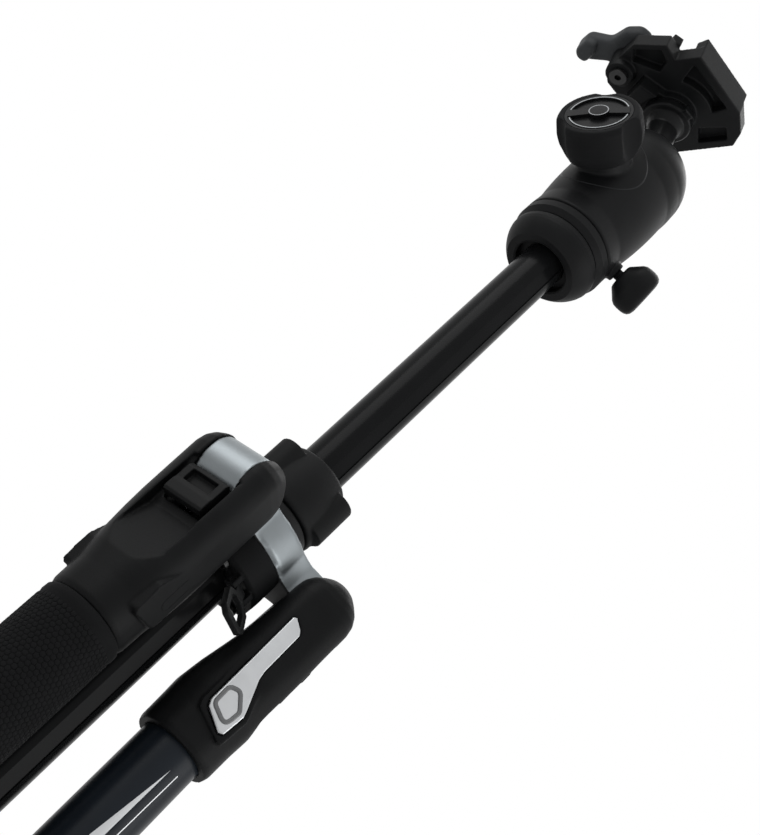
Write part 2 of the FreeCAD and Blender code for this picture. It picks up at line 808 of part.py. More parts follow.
def hang_loop():
    """A flat triangular loop on a cross pin, swung out a little from the column."""
    half = size.loop_width / 2
    tip = -size.loop_drop
    bar = size.loop_bar
    plate = doc.addObject("PartDesign::Body", "loop_plate")
    sketch = plate.newObject("Sketcher::SketchObject", "loop_face")
    sketch.AttachmentSupport = (origin_plane(plate, "YZ_Plane"), [""])
    sketch.MapMode = "FlatFace"
    outline(sketch, [(-3.0, 1.0), (3.0, 1.0), (3.0, -3.9), (half, -6.4), (half, tip + 2.4),
                     (half - 2.4, tip),
                     (2.4 - half, tip), (-half, tip + 2.4), (-half, -6.4), (-3.0, -3.9)])
    doc.recompute()
    block = plate.newObject("PartDesign::Pad", "loop_thickness")
    block.Profile = sketch
    bind(block, "Length", size.loop_thickness)
    doc.recompute()
    window = plate.newObject("Sketcher::SketchObject", "loop_opening")
    window.AttachmentSupport = (origin_plane(plate, "YZ_Plane"), [""])
    window.MapMode = "FlatFace"
    outline(window, [(-1.8, -5.6), (1.8, -5.6), (half - bar, -8.0), (half - bar, tip + bar),
                     (bar - half, tip + bar), (bar - half, -8.0)])
    doc.recompute()
    before = plate.Shape.Volume
    hole = plate.newObject("PartDesign::Pocket", "loop_hole")
    hole.Profile = window
    hole.Type = "ThroughAll"
    hole.Midplane = True
    doc.recompute()
    if plate.Shape.Volume >= before:
        raise RuntimeError("the loop has no opening")
    bind_place(plate, -size.loop_thickness / 2, 0.0, 0.0)
    pin = rod("loop_pin", size.loop_pin_radius, 11.0, 0.0, -5.5, 0.0, ALONG_Y)
    return placed("loop_hung", fuse("loop", [plate, pin]), -Y_AXIS, size.loop_swing, size.loop_circle, 0.0,
                  spider_foot - 2.6)


def spider():
    piece(spider_crown(), "spider_crown")
    piece(spider_body(), "spider_body")
    piece(spider_screws(), "spider_screws")
    piece(neck_ring(), "neck_ring")
    piece(turned(hang_loop(), size.loop_turn, "loop_turned"), "hang_loop")


# Column and the collar that locks it

def lock_collar():
    foot = neck_top + size.face_gap
    top = foot + size.collar_height
    bore = size.sleeve_radius + size.face_gap
    ledge = neck_top + size.sleeve_height + size.face_gap
    ring = lathe("collar_ring", [
        (bore, foot), (size.collar_radius - 0.6, foot), (size.collar_radius, foot + 1.2),
        (size.collar_radius, foot + 5.0, 0.08), (size.collar_top_radius, top - 1.2),
        (size.collar_top_radius - 1.2, top), (column_bore, top), (column_bore, ledge), (bore, ledge)])
    wing = rod("collar_wing", size.wing_radius, size.collar_height - 6.0, size.wing_reach, 0.0, foot + 2.4)
    wings = [turned(wing, size.wing_turn + 120.0 * step, "collar_wing_%d" % step) for step in range(3)]
    bore_tool = rod("collar_bore", bore, ledge - foot, 0.0, 0.0, foot)
    top_tool = rod("collar_top_bore", column_bore, size.collar_height + 2.0, 0.0, 0.0, foot)
    return cut("collar", fuse("collar_blank", [ring] + wings), [bore_tool, top_tool])


def column_tube():
    body = tube("column_pipe", size.column_radius - size.column_wall, size.column_radius, size.column_foot,
                tube_floor)
    groove = slab("column_groove", 3.0, size.groove_width, head_floor - size.column_foot,
                  size.column_radius - size.groove_depth, -size.groove_width / 2, size.column_foot - 1.0)
    return cut("column_grooved", body, [turned(groove, size.groove_turn, "column_groove_turned")])


def column_end_cap():
    plug = size.column_radius - size.column_wall - size.seat_gap
    foot = size.column_foot
    return lathe("end_cap", [
        (0.0, foot - size.cap_height), (size.column_radius - 1.2, foot - size.cap_height),
        (size.column_radius, foot - size.cap_height + 1.2), (size.column_radius, foot), (plug, foot),
        (plug, foot + 6.0), (0.0, foot + 6.0)])


def head_base():
    """The ring at the column's top, hollow underneath, with the stud that the head screws on."""
    seat = size.column_radius + size.seat_gap
    foot = size.head_base
    return lathe("head_seat", [
        (seat, foot + size.head_recess_depth), (size.head_recess_radius, foot + size.head_recess_depth),
        (size.head_recess_radius, foot + 0.6), (size.head_recess_radius + 0.8, foot),
        (size.head_base_foot_radius, foot, 0.12), (size.head_base_radius - 0.4, foot + 7.0),
        (size.head_base_radius, foot + 8.5), (size.head_base_radius, foot + 10.5),
        (size.head_base_radius - 1.2, head_floor), (size.stud_radius, head_floor),
        (size.stud_radius, head_floor + size.stud_length), (0.0, head_floor + size.stud_length),
        (0.0, tube_floor), (seat, tube_floor)])


def pan_base():
    bore = size.stud_radius + size.seat_gap
    boss_top = pan_top + size.pan_boss_height
    return lathe("pan_plate", [
        (bore, head_floor), (size.pan_base_radius - 1.9, head_floor),
        (size.pan_base_radius, head_floor + 2.6),
        (size.pan_base_radius, pan_top - 0.6), (size.pan_base_radius - 0.6, pan_top),
        (size.pan_boss_radius, pan_top), (size.pan_boss_radius, boss_top), (bore, boss_top)])


def column():
    piece(lock_collar(), "lock_collar")
    piece(column_tube(), "column_tube")
    piece(column_end_cap(), "column_end_cap")
    piece(head_base(), "column_head")
    piece(pan_base(), "pan_base")


# Ball head

def outward(name, thing, turn, height, reach=0.0):
    """Lays a piece built along +Z on its side, pointing away from the column at a height and turn."""
    flat = placed(name + "_flat", thing, Y_AXIS, 90, reach, 0.0, height)
    return turned(flat, turn, name + "_outward")


def ball_housing():
    boss_room = size.pan_boss_radius + size.running_gap
    boss_top = pan_top + size.pan_boss_height + size.face_gap
    cup_room = size.cup_radius + size.face_gap
    cup_floor = knob_height - 8.0
    foot = housing_foot
    blank = lathe("housing_blank", [
        (0.0, foot), (size.housing_radius - 1.6, foot), (size.housing_radius - 1.2, foot + 0.6),
        (size.housing_waist, foot + 10.0, 0.05), (size.housing_radius, knob_height + 12.0, 0.05),
        (size.housing_radius, knob_height + 22.0, 0.22), (size.rim_radius, housing_top),
        (0.0, housing_top)])
    boss = rod("knob_boss", size.knob_boss_radius, size.knob_boss_reach - 10.0, 0.0, 0.0, 10.0)
    pan_boss = rod("pan_knob_boss", size.pan_shaft_radius + 2.0, 7.0, 0.0, 0.0, 19.0)
    knob_bore = rod("knob_bore", size.knob_shaft_radius + size.running_gap, 40.0)
    pan_bore = rod("pan_knob_bore", size.pan_shaft_radius + size.running_gap, 40.0)
    joined = fuse("housing_joined", [
        blank,
        outward("knob_boss", boss, size.knob_turn, knob_height),
        outward("pan_boss", pan_boss, size.pan_knob_turn, pan_knob_height)])
    return cut("housing", joined, [
        ball("ball_room", size.ball_radius + size.ball_gap, 0.0, 0.0, ball_height),
        rod("cup_room", cup_room, ball_height - cup_floor, 0.0, 0.0, cup_floor),
        rod("pan_boss_room", boss_room, boss_top - foot + 1.0, 0.0, 0.0, foot - 1.0),
        outward("knob_bore", knob_bore, size.knob_turn, knob_height),
        outward("pan_bore", pan_bore, size.pan_knob_turn, pan_knob_height)])


def ball_cup():
    """The seat under the ball, which the knob's screw wedges upwards."""
    foot = knob_height - 7.4
    blank = rod("cup_blank", size.cup_radius, ball_height - foot - 12.0, 0.0, 0.0, foot)
    room = rod("cup_screw_room", size.knob_shaft_radius + size.face_gap, 40.0)
    return cut("cup", blank, [
        ball("cup_seat", size.ball_radius + size.ball_gap, 0.0, 0.0, ball_height),
        outward("cup_room", room, size.knob_turn, knob_height)])


def ball_lock_knob():
    foot = size.knob_boss_reach + size.face_gap
    face = size.knob_reach
    rim = size.knob_radius
    recess = face - 1.6
    body = lathe("knob_body", [
        (0.0, foot - 16.0), (size.knob_shaft_radius, foot - 16.0), (size.knob_shaft_radius, foot),
        (rim - 5.5, foot), (rim - 3.2, foot + 1.5), (rim - 0.8, foot + 6.5, 0.04), (rim, foot + 12.0),
        (rim - 0.5, face - 2.0), (rim - 1.8, face), (size.knob_face_radius, face),
        (size.knob_face_radius, recess), (0.0, recess)])
    flute = rod("knob_flute", size.knob_flute_radius, size.knob_reach - foot + 1.0,
                rim + size.knob_flute_radius - size.knob_flute_depth, 0.0, foot + 0.5)
    count = int(plain(size.knob_flute_count))
    flutes = around(flute, "knob_flutes", count, size.knob_flute_turn)
    return outward("ball_knob", cut("knob", body, flutes), size.knob_turn, knob_height)


def knob_cap():
    foot = size.knob_reach - 1.6
    radius = size.knob_face_radius - size.seat_gap
    ring_room = size.knob_ring_radius
    disc = lathe("cap_disc", [
        (0.0, foot), (radius, foot), (radius, foot + 1.5), (ring_room, foot + 1.5), (ring_room, foot + 0.9),
        (ring_room - size.knob_ring_width, foot + 0.9), (ring_room - size.knob_ring_width, foot + 0.7),
        (0.0, foot + 0.7)])
    bar = pad("cap_bar", [
        (-ring_room, -2.8), (-5.0, -1.9), (5.0, -1.9), (ring_room, -2.8), (ring_room, 2.8), (5.0, 1.9),
        (-5.0, 1.9), (-ring_room, 2.8)], foot + 0.2, 2.0)
    hub = rod("cap_hub", 4.6, 2.6, 0.0, 0.0, foot + 0.2)
    joined = fuse("cap", [disc, turned(bar, -62.0, "cap_bar_turned"), hub])
    return outward("knob_cap", joined, size.knob_turn, knob_height)


def knob_ring():
    foot = size.knob_reach - 0.7
    ring = tube("bright_ring", size.knob_ring_radius - size.knob_ring_width, size.knob_ring_radius, foot,
                foot + 0.9)
    gap = slab("ring_gap", 40.0, 6.4, 4.0, -20.0, -3.2, foot - 1.0)
    split = cut("ring_halves", ring, [turned(gap, -62.0, "ring_gap_turned")])
    return outward("knob_ring", split, size.knob_turn, knob_height)


def pan_knob():
    face = size.pan_knob_reach
    foot = face - size.pan_knob_length
    radius = size.pan_knob_radius
    body = lathe("pan_knob_body", [
        (0.0, size.pan_boss_radius + size.face_gap),
        (size.pan_shaft_radius, size.pan_boss_radius + size.face_gap),
        (size.pan_shaft_radius, foot), (radius - 2.6, foot), (radius - 1.4, foot + 3.0),
        (radius, foot + 6.0),
        (radius, face - 4.0), (radius - 2.4, face), (0.0, face)])
    wing = size.pan_knob_wing
    wings = pad("pan_knob_wings", [
        (-wing, -2.4), (-4.0, -4.4), (4.0, -4.4), (wing, -2.4), (wing, 2.4), (4.0, 4.4), (-4.0, 4.4),
        (-wing, 2.4)],
        foot + 4.0, size.pan_knob_length - 5.0)
    joined = fuse("pan_knob_joined", [body, turned(wings, 35.0, "pan_wings_turned")])
    return outward("pan_knob", joined, size.pan_knob_turn, pan_knob_height)


def tilted(name, thing):
    """Sets a piece of the clamp, built over the ball, at the stem's tilt."""
    return placed(name, thing, -Y_AXIS, size.stem_tilt, 0.0, 0.0, ball_height)


def ball_stem():
    ring_foot = size.stem_ring_foot
    ring_top = ring_foot + size.stem_ring_height
    pin_top = size.clamp_foot + 5.0
    stem = lathe("stem_neck", [
        (0.0, 8.0), (size.stem_radius + 1.5, 8.0), (size.stem_radius, 17.0), (size.stem_radius, 27.0),
        (size.stem_radius + 2.0, ring_foot), (size.stem_ring_radius - 0.8, ring_foot),
        (size.stem_ring_radius, ring_foot + 0.8), (size.stem_ring_radius, ring_top),
        (size.stem_pin_radius, ring_top), (size.stem_pin_radius, pin_top), (0.0, pin_top)])
    tab = slab("stem_tab", 4.0, 6.0, 4.0, size.stem_ring_radius - 2.0, -3.0, ring_foot + 0.5)
    tab_turned = turned(tab, -70.0, "stem_tab_turned")
    joined = fuse("stem", [ball("lock_ball", size.ball_radius), stem, tab_turned])
    return tilted("ball_stem_tilted", joined)


def clamp_body():
    foot = size.clamp_foot
    deck = foot + size.clamp_floor
    bearing_foot = size.stem_ring_foot + size.stem_ring_height + size.face_gap
    pivot_x, pivot_y = size.lever_pivot_x, size.lever_pivot_y
    plate = pad("clamp_plate", [
        (-38.0, 2.0), (-36.0, -20.0), (-24.0, -31.0), (-16.0, -27.0), (-8.5, -37.0), (25.0, -23.0),
        (33.0, -13.0), (35.0, -4.0), (17.0, 22.0), (-8.0, 24.0), (-20.0, 14.0), (-33.0, 9.0)], foot,
        size.clamp_floor)
    fixed_jaw = pad("fixed_jaw", [(-8.5, -37.0), (25.0, -23.0), (22.6, -17.2),
                                  (-10.9, -31.2)], deck, size.clamp_jaw)
    low_jaw = pad("low_jaw", [(-8.0, 24.0), (-8.5, 18.0), (16.5, 16.0), (17.0, 22.0)], deck, size.clamp_jaw)
    seat = pad("clamp_seat_pad", [
        (-14.5, -24.5), (-10.8, -29.8), (21.8, -16.4), (27.0, -9.0), (16.0, 15.2), (-8.6, 17.2),
        (-17.0, 11.0)],
        deck, size.clamp_seat)
    catch = slab("catch_tab", 5.0, 4.0, 5.0, -22.0, -29.0, deck)
    bearing = rod("clamp_bearing", size.stem_ring_radius, foot - bearing_foot + 1.0, 0.0, 0.0, bearing_foot)
    pillar = slab("clamp_pillar", 18.0, 16.0, 9.0, -22.0, -9.0, foot - 8.0)
    boss = rod("lever_boss", size.lever_boss_radius, foot + size.clamp_floor - 38.0, pivot_x, pivot_y, 38.0)
    joined = fuse("clamp_joined", [plate, fixed_jaw, low_jaw, seat, catch, bearing, pillar, boss])
    return cut("clamp", joined, [
        rod("stem_pin_bore", size.stem_pin_radius + size.running_gap, 10.0, 0.0, 0.0, foot - 4.8),
        rod("stem_ring_room", size.stem_ring_radius + size.face_gap, bearing_foot, 0.0, 0.0, 0.0),
        rod("tab_sweep", size.stem_ring_radius + 2.0 + size.face_gap, bearing_foot + 0.1, 0.0, 0.0, 0.0),
        rod("lever_pin_bore", size.lever_pin_radius + size.seat_gap, 20.0, pivot_x, pivot_y, 35.0),
        pad("left_pocket", [(-34.5, -17.5), (-31.0, -11.0), (-17.5, -15.5), (-18.5, -23.0), (-24.5, -27.0)],
            foot - 1.0, 6.0),
        pad("right_pocket", [(-8.0, -31.0), (-6.5, -18.5, 0.3), (15.0, -13.5),
                             (18.5, -21.0)], foot - 1.0, 6.0),
        pad("small_window", [(16.0, -0.5), (21.5, 7.5), (30.5, -5.0), (25.5, -11.0)], foot - 1.0, 5.0)])


def lever_pin():
    deck = size.clamp_foot + size.clamp_floor
    top = deck + size.face_gap + size.lever_height
    pin = rod("pivot_pin", size.lever_pin_radius, top - 38.0, size.lever_pivot_x, size.lever_pivot_y, 38.0)
    head = rod("pivot_head", size.lever_pin_radius + 1.4, 1.8, size.lever_pivot_x, size.lever_pivot_y, 36.2)
    socket = rod("pivot_socket", size.lever_pin_radius * 0.55, 3.0, size.lever_pivot_x, size.lever_pivot_y,
                 35.0)
    return cut("lever_pivot", fuse("lever_pivot_blank", [pin, head]), [socket])


def clamp_lever():
    foot = size.clamp_foot + size.clamp_floor + size.face_gap
    pivot_x, pivot_y = size.lever_pivot_x, size.lever_pivot_y
    arm = pad("lever_arm", [
        (-54.5, 9.5), (-53.5, 0.5), (-44.0, -5.0), (-41.5, -15.0), (-36.0, -20.5), (-29.5, -20.0),
        (-25.5, -13.0), (-25.0, -1.0), (-30.0, 4.5), (-38.0, 6.0), (-46.0, 12.5), (-51.5, 12.5)], foot,
        size.lever_height)
    tip = pad("lever_tip", [
        (-54.5, 9.5), (-53.5, 0.5), (-48.0, -1.5), (-46.0, 5.0), (-46.5, 12.2), (-51.5, 12.5)],
        foot - 3.5, size.lever_height)
    bore = rod("lever_bore", size.lever_pin_radius + size.running_gap, 20.0, pivot_x, pivot_y, 45.0)
    return cut("lever", fuse("lever_blank", [arm, tip]), [bore])


def head():
    piece(ball_housing(), "ball_housing")
    piece(ball_cup(), "ball_cup")
    piece(ball_lock_knob(), "ball_knob")
    piece(knob_cap(), "knob_cap")
    piece(knob_ring(), "knob_ring")
    piece(pan_knob(), "pan_knob")
    piece(ball_stem(), "ball_stem")
    piece(tilted("clamp_body_tilted", clamp_body()), "clamp_body")
    piece(tilted("lever_pin_tilted", lever_pin()), "lever_pin")
    piece(tilted("clamp_lever_tilted", clamp_lever()), "clamp_lever")


def check_and_write():
    """Stops on any failed feature, then writes each piece to its own file."""
    doc.recompute()
    for thing in doc.Objects:
        if "Invalid" in thing.State or "Error" in thing.State:
            raise RuntimeError("%s failed: %s" % (thing.Name, thing.State))
    for thing in PIECES:
        if thing.Shape.isNull() or not thing.Shape.isValid() or not thing.Shape.Solids:
            raise RuntimeError("%s has no sound shape" % thing.Label)
    os.makedirs("parts", exist_ok=True)
    for thing in PIECES:
        thing.Shape.exportStep("parts/%s.step" % thing.Label)


legs()
spider()
column()
head()
check_and_write()
print("%d pieces written" % len(PIECES))
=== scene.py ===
import math

import bmesh
import bpy
from mathutils import Matrix, Vector


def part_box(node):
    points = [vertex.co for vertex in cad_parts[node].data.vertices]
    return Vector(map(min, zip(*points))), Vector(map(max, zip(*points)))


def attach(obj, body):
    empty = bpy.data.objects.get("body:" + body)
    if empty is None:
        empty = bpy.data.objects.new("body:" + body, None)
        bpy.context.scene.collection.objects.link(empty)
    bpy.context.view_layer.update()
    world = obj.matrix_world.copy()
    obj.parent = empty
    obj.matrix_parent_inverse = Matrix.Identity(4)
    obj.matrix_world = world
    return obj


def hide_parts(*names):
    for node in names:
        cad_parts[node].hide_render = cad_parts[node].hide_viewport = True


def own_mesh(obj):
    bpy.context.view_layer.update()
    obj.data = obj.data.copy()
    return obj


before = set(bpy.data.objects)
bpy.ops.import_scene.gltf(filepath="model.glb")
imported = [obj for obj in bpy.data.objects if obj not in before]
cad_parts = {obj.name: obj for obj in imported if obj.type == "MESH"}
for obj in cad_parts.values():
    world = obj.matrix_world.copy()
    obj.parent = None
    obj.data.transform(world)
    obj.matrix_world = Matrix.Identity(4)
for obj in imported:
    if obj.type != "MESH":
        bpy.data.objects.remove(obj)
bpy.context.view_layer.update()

bl_info = {
    "name": "Travel Tripod",
    "version": (1, 0, 0),
    "blender": (4, 5, 0),
    "location": "View3D > Sidebar > Tripod",
    "description": "Dresses a folding travel tripod with its castings, tubes, rubber and ball head",
    "category": "Object",
}

MM = 0.001
WHITE = (1.0, 1.0, 1.0, 1.0)
ALONG = (1.0, 1.0, 0.04)

# Where things are: turns and tilts in degrees, lengths in metres

LEGS = {"b": 0.0, "c": 120.0, "a": 240.0}
LEG_LINE = 0.035
BALL_HEIGHT = 0.658
STEM_TILT = 17.0
ON_CLAMP = (Matrix.Translation((0.0, 0.0, BALL_HEIGHT))
            @ Matrix.Rotation(math.radians(-STEM_TILT), 4, "Y"))

# How far the bright lines round the ball knob are from its axis, in millimetres; the line at the seat is a
# painted highlight

KNOB_SEAT = 19.5
RING_LINE = 13.2
BOSS_LINE = 4.25

# The castings' eased edges: the voxel in metres and the rounds of smoothing after it

EASE = {
    "shoulder": (0.5 * MM, 3),
    "inlay_plate": (0.32 * MM, 2),
    "angle_slider": (0.3 * MM, 3),
    "twist_lock": (0.56 * MM, 2),
    "spider_crown": (0.54 * MM, 5),
    "spider_body": (0.5 * MM, 3),
    "lock_collar": (0.45 * MM, 8),
    "hang_loop": (0.3 * MM, 6),
    "ball_housing": (0.6 * MM, 5),
    "ball_knob": (0.45 * MM, 6),
    "ball_stem": (0.5 * MM, 2),
    "clamp_body": (0.4 * MM, 8),
    "clamp_lever": (0.45 * MM, 8),
}

# The pad's and the pill's corners, across and up from the inlaid plate's foot, in millimetres

PAD_CORNERS = ((1.6, 6.2), (1.5, 14.0), (5.4, 15.6), (10.3, 10.2), (9.6, 3.2))
PILL_CORNERS = ((1.0, 8.0), (6.0, 8.0), (6.0, 36.0), (1.0, 36.0))
CORNER_RADIUS = 2.4

# The slider's spring: the wire's radius, how far its middle lies inside the sleeve's face, and its turns

COIL_WIRE = 0.48 * MM
COIL_INSET = 0.5 * MM
COIL_TURNS = 7

# The grip: its bore, then its scales' depth, first row, bare ends together, and row step in widths

GRIP_BORE = 12.53 * MM
SCALE_DEPTH = 0.2 * MM
SCALES_FOOT = 5.0 * MM
SCALES_MARGIN = 9.0 * MM
SCALE_STEP = 0.87

# The twist locks' ribs: how many, the width, height and depth of each, and how high they lie

LOCK_RIBS = 16
LOCK_RIB = (2.0 * MM, 14.0 * MM, 0.55 * MM)
LOCK_RIB_HEIGHT = 11.0 * MM

# The pan knob: radius and height of each point in millimetres, and its share of the lobes' swelling

PAN_KNOB_TURN = 352.0
PAN_KNOB_LOBES = 2
PAN_KNOB_SWELL = 0.22
PAN_KNOB_LEAD = 35.0
PAN_KNOB_PROFILE = (
    (0.0, 11.3, 0.0), (2.4, 11.3, 0.0), (2.5, 11.5, 0.0), (2.5, 27.6, 0.0), (2.9, 28.0, 0.0),
    (5.0, 28.0, 0.1), (5.8, 28.3, 0.2), (6.6, 29.4, 0.4), (7.6, 31.0, 0.7), (8.7, 32.6, 0.9),
    (9.3, 34.2, 1.0), (9.5, 36.2, 1.0), (9.5, 38.4, 1.0), (9.3, 40.2, 1.0), (8.8, 41.6, 0.95),
    (7.9, 42.5, 0.9), (6.6, 42.9, 0.8), (4.5, 42.9, 0.6), (2.5, 42.6, 0.3), (0.0, 42.5, 0.0))

# The clamp's lever, seen from above with the stem upright, in millimetres from the ball's middle

LEVER_ARM = ((-54.5, 9.5), (-53.5, 0.5), (-44.0, -5.0), (-41.5, -15.0), (-36.0, -20.5), (-29.5, -20.0),
             (-25.5, -13.0), (-25.0, -1.0), (-30.0, 4.5), (-38.0, 6.0), (-46.0, 12.5), (-51.5, 12.5))
LEVER_TIP = ((-54.5, 9.5), (-53.5, 0.5), (-48.0, -1.5), (-46.0, 5.0), (-46.5, 12.2), (-51.5, 12.5))
PIN_PLACE = (-32.0 * MM, -3.0 * MM)
PIN_HOLE = 3.5 * MM

# The studio: each lamp's name, place, aim, size in metres and watts

LAMPS = (
    ("key", (-0.95, -0.75, 1.15), (0.0, 0.0, 0.45), 0.9, 7.5),
    ("fill", (1.15, -0.45, 0.4), (0.0, 0.0, 0.45), 0.9, 6.0),
    ("top", (0.1, 0.3, 1.6), (0.0, 0.0, 0.5), 0.8, 6.0))
ROOM_LIGHT = 0.45
FLOOR_REACH = 6
FLOOR_DROP = 0.0002
FLOOR_FADE = (0.45, 1.05)

# The camera: its place in metres, the way its right side and its front point, and its lens

CAMERA_PLACE = (0.0, -0.4804, 0.170)
CAMERA_RIGHT = (0.6817, -0.3823, 0.6239)
CAMERA_AHEAD = (0.0038, 0.8545, 0.5194)
CAMERA_SENSOR = 36.0
CAMERA_LENS = 60.36
CAMERA_SHIFT = (-0.0120, -0.0042)


# Shader arithmetic

class Value:
    """One number or colour in a material's nodes, with arithmetic on it."""

    def __init__(self, finish, socket):
        self.finish = finish
        self.socket = socket

    def maths(self, operation, *others):
        """A Math node on this value and any others."""
        inputs = dict(enumerate((self,) + others))
        return self.finish.node("ShaderNodeMath", {"operation": operation}, inputs)

    def __add__(self, other):
        return self.maths("ADD", other)

    def __radd__(self, other):
        return self.maths("ADD", other)

    def __sub__(self, other):
        return self.maths("SUBTRACT", other)

    def __rsub__(self, other):
        return self.finish.node("ShaderNodeMath", {"operation": "SUBTRACT"}, {0: other, 1: self})

    def __mul__(self, other):
        return self.maths("MULTIPLY", other)

    def __rmul__(self, other):
        return self.maths("MULTIPLY", other)

    def __lt__(self, other):
        return self.maths("LESS_THAN", other)

    def __gt__(self, other):
        return self.maths("GREATER_THAN", other)

    def least(self, other):
        return self.maths("MINIMUM", other)

    def most(self, other):
        return self.maths("MAXIMUM", other)

    def size(self):
        return self.maths("ABSOLUTE")

    def root(self):
        return self.maths("SQRT")

    def ramp(self, low, high):
        """0 below low, 1 above high, and even between them."""
        return self.finish.node("ShaderNodeMapRange", {"clamp": True}, {
            "Value": self, "From Min": low, "From Max": high, "To Min": 0.0, "To Max": 1.0})


class Finish:
    """A material whose surface varies over the object's own coordinates."""

    def __init__(self, name, roughness=0.5, metallic=0.0, specular=0.5):
        self.material = bpy.data.materials.new(name)
        self.material.use_nodes = True
        self.tree = self.material.node_tree
        self.surface = next(node for node in self.tree.nodes if node.type == "BSDF_PRINCIPLED")
        self.surface.inputs["Roughness"].default_value = roughness
        self.surface.inputs["Metallic"].default_value = metallic
        self.surface.inputs["Specular IOR Level"].default_value = specular
        self.place = self.node("ShaderNodeTexCoord", {}, {}, "Object")
        self.height = None

    def node(self, kind, settings, inputs, output=0):
        made = self.tree.nodes.new(kind)
        for name, value in settings.items():
            setattr(made, name, value)
        for name, value in inputs.items():
            if isinstance(value, Value):
                self.tree.links.new(value.socket, made.inputs[name])
            else:
                made.inputs[name].default_value = value
        return Value(self, made.outputs[output])

    def mark(self, name):
        """A value that the mesh carries at its points."""
        return self.node("ShaderNodeAttribute", {"attribute_name": name}, {}, "Fac")

    def axis(self, name):
        """The object's own x, y or z."""
        return self.node("ShaderNodeSeparateXYZ", {}, {"Vector": self.place}, name)

    def noise(self, size, detail, stretch=(1.0, 1.0, 1.0)):
        """Cloudy noise from 0 to 1 whose lumps are as large as size, in metres."""
        where = self.node("ShaderNodeMapping", {}, {"Vector": self.place, "Scale": stretch})
        return self.node("ShaderNodeTexNoise", {}, {
            "Vector": where, "Scale": 1.0 / size, "Detail": detail})

    def blend(self, amount, first, second):
        mixed = self.node("ShaderNodeMix", {"data_type": "RGBA"}, {"Factor": amount}, "Result")
        inputs = [socket for socket in mixed.socket.node.inputs if socket.type == "RGBA"]
        for socket, colour in zip(inputs, (first, second)):
            if isinstance(colour, Value):
                self.tree.links.new(colour.socket, socket)
            else:
                socket.default_value = rgba(colour)
        outputs = [socket for socket in mixed.socket.node.outputs if socket.type == "RGBA"]
        return Value(self, outputs[0])

    def mottled(self, cloud, low, high, colour, dark, light):
        """A colour that drifts between a dark and a light shade of itself, as a cloud of noise does."""
        return self.blend(cloud.ramp(low, high), tinted(colour, dark), tinted(colour, light))

    def colour(self, value):
        if isinstance(value, Value):
            self.tree.links.new(value.socket, self.surface.inputs["Base Color"])
        else:
            self.surface.inputs["Base Color"].default_value = rgba(value)

    def dull(self, value):
        """Sets how rough the surface is, as it varies."""
        self.tree.links.new(value.socket, self.surface.inputs["Roughness"])

    def metal(self, value):
        self.tree.links.new(value.socket, self.surface.inputs["Metallic"])

    def relief(self, height, depth):
        """Bumps the surface by a height from 0 to 1, as deep as depth, in metres."""
        bump = self.tree.nodes.new("ShaderNodeBump")
        bump.inputs["Distance"].default_value = depth
        self.tree.links.new(height.socket, bump.inputs["Height"])
        if self.height is not None:
            self.tree.links.new(self.height.outputs["Normal"], bump.inputs["Normal"])
        self.height = bump
        self.tree.links.new(bump.outputs["Normal"], self.surface.inputs["Normal"])


def rgba(colour):
    return (colour[0], colour[1], colour[2], 1.0)


def tinted(colour, factor):
    return tuple(channel * factor for channel in colour)


# Finishes

def powder_coat(name, colour, roughness=0.54, grain=0.5 * MM, depth=0.07 * MM, specular=0.11):
    """Fine-textured paint over a casting, a little worn to a shine in places."""
    finish = Finish(name, roughness, 0.0, specular)
    cloud = finish.noise(14 * MM, 3.0)
    speck = finish.noise(grain, 3.0)
    pits = finish.noise(grain * 3.2, 2.0)
    finish.colour(finish.mottled(cloud, 0.35, 0.7, colour, 0.86, 1.22))
    finish.dull(roughness - 0.05 + cloud * 0.09 + speck * 0.06)
    finish.relief(speck * 0.7 + pits * 0.3, depth)
    return finish.material


def smooth_black(name, colour, roughness=0.4, specular=0.12, streak=(1.0, 1.0, 1.0)):
    """Satin paint or anodising, with faint rubbed streaks along the piece."""
    finish = Finish(name, roughness, 0.0, specular)
    cloud = finish.noise(22 * MM, 3.0)
    rub = finish.noise(1.3 * MM, 3.0, streak)
    finish.colour(finish.mottled(cloud, 0.3, 0.75, colour, 0.88, 1.18))
    finish.dull(roughness - 0.05 + cloud * 0.06 + rub * 0.06)
    finish.relief(rub, 0.006 * MM)
    return finish.material


def satin(finish, colour):
    """The soft patches and the fine grain of blasted metal, and the colour that goes with them."""
    cloud = finish.noise(9 * MM, 3.0)
    fine = finish.noise(0.35 * MM, 2.0)
    finish.relief(fine, 0.012 * MM)
    return cloud, fine, finish.mottled(cloud, 0.3, 0.75, colour, 0.93, 1.05)


def satin_metal(name, colour, roughness):
    """Blasted metal, the same all over."""
    finish = Finish(name, roughness, 1.0)
    cloud, fine, base = satin(finish, colour)
    finish.colour(base)
    finish.dull(roughness - 0.05 + cloud * 0.05 + fine * 0.07)
    return finish.material


def inlay_satin(name, colour, shade):
    """The inlay's satin metal, darker on the outline raised round its pad."""
    finish = Finish(name, 0.34, 1.0)
    cloud, fine, base = satin(finish, colour)
    outline = finish.mark("outline")
    finish.colour(finish.blend(outline, base, shade))
    finish.metal(1.0 - outline * 0.6)
    finish.dull(0.29 + cloud * 0.05 + fine * 0.07 + outline * 0.1)
    return finish.material


def rubber(name, colour, roughness=0.78, specular=0.08):
    """Dull moulded rubber with a fine sand texture and a faint bloom."""
    finish = Finish(name, roughness, 0.0, specular)
    bloom = finish.noise(11 * MM, 4.0)
    sand = finish.noise(0.4 * MM, 2.0)
    finish.colour(finish.mottled(bloom, 0.4, 0.8, colour, 0.9, 1.35))
    finish.dull(roughness - 0.04 + bloom * 0.08)
    finish.relief(sand, 0.03 * MM)
    return finish.material


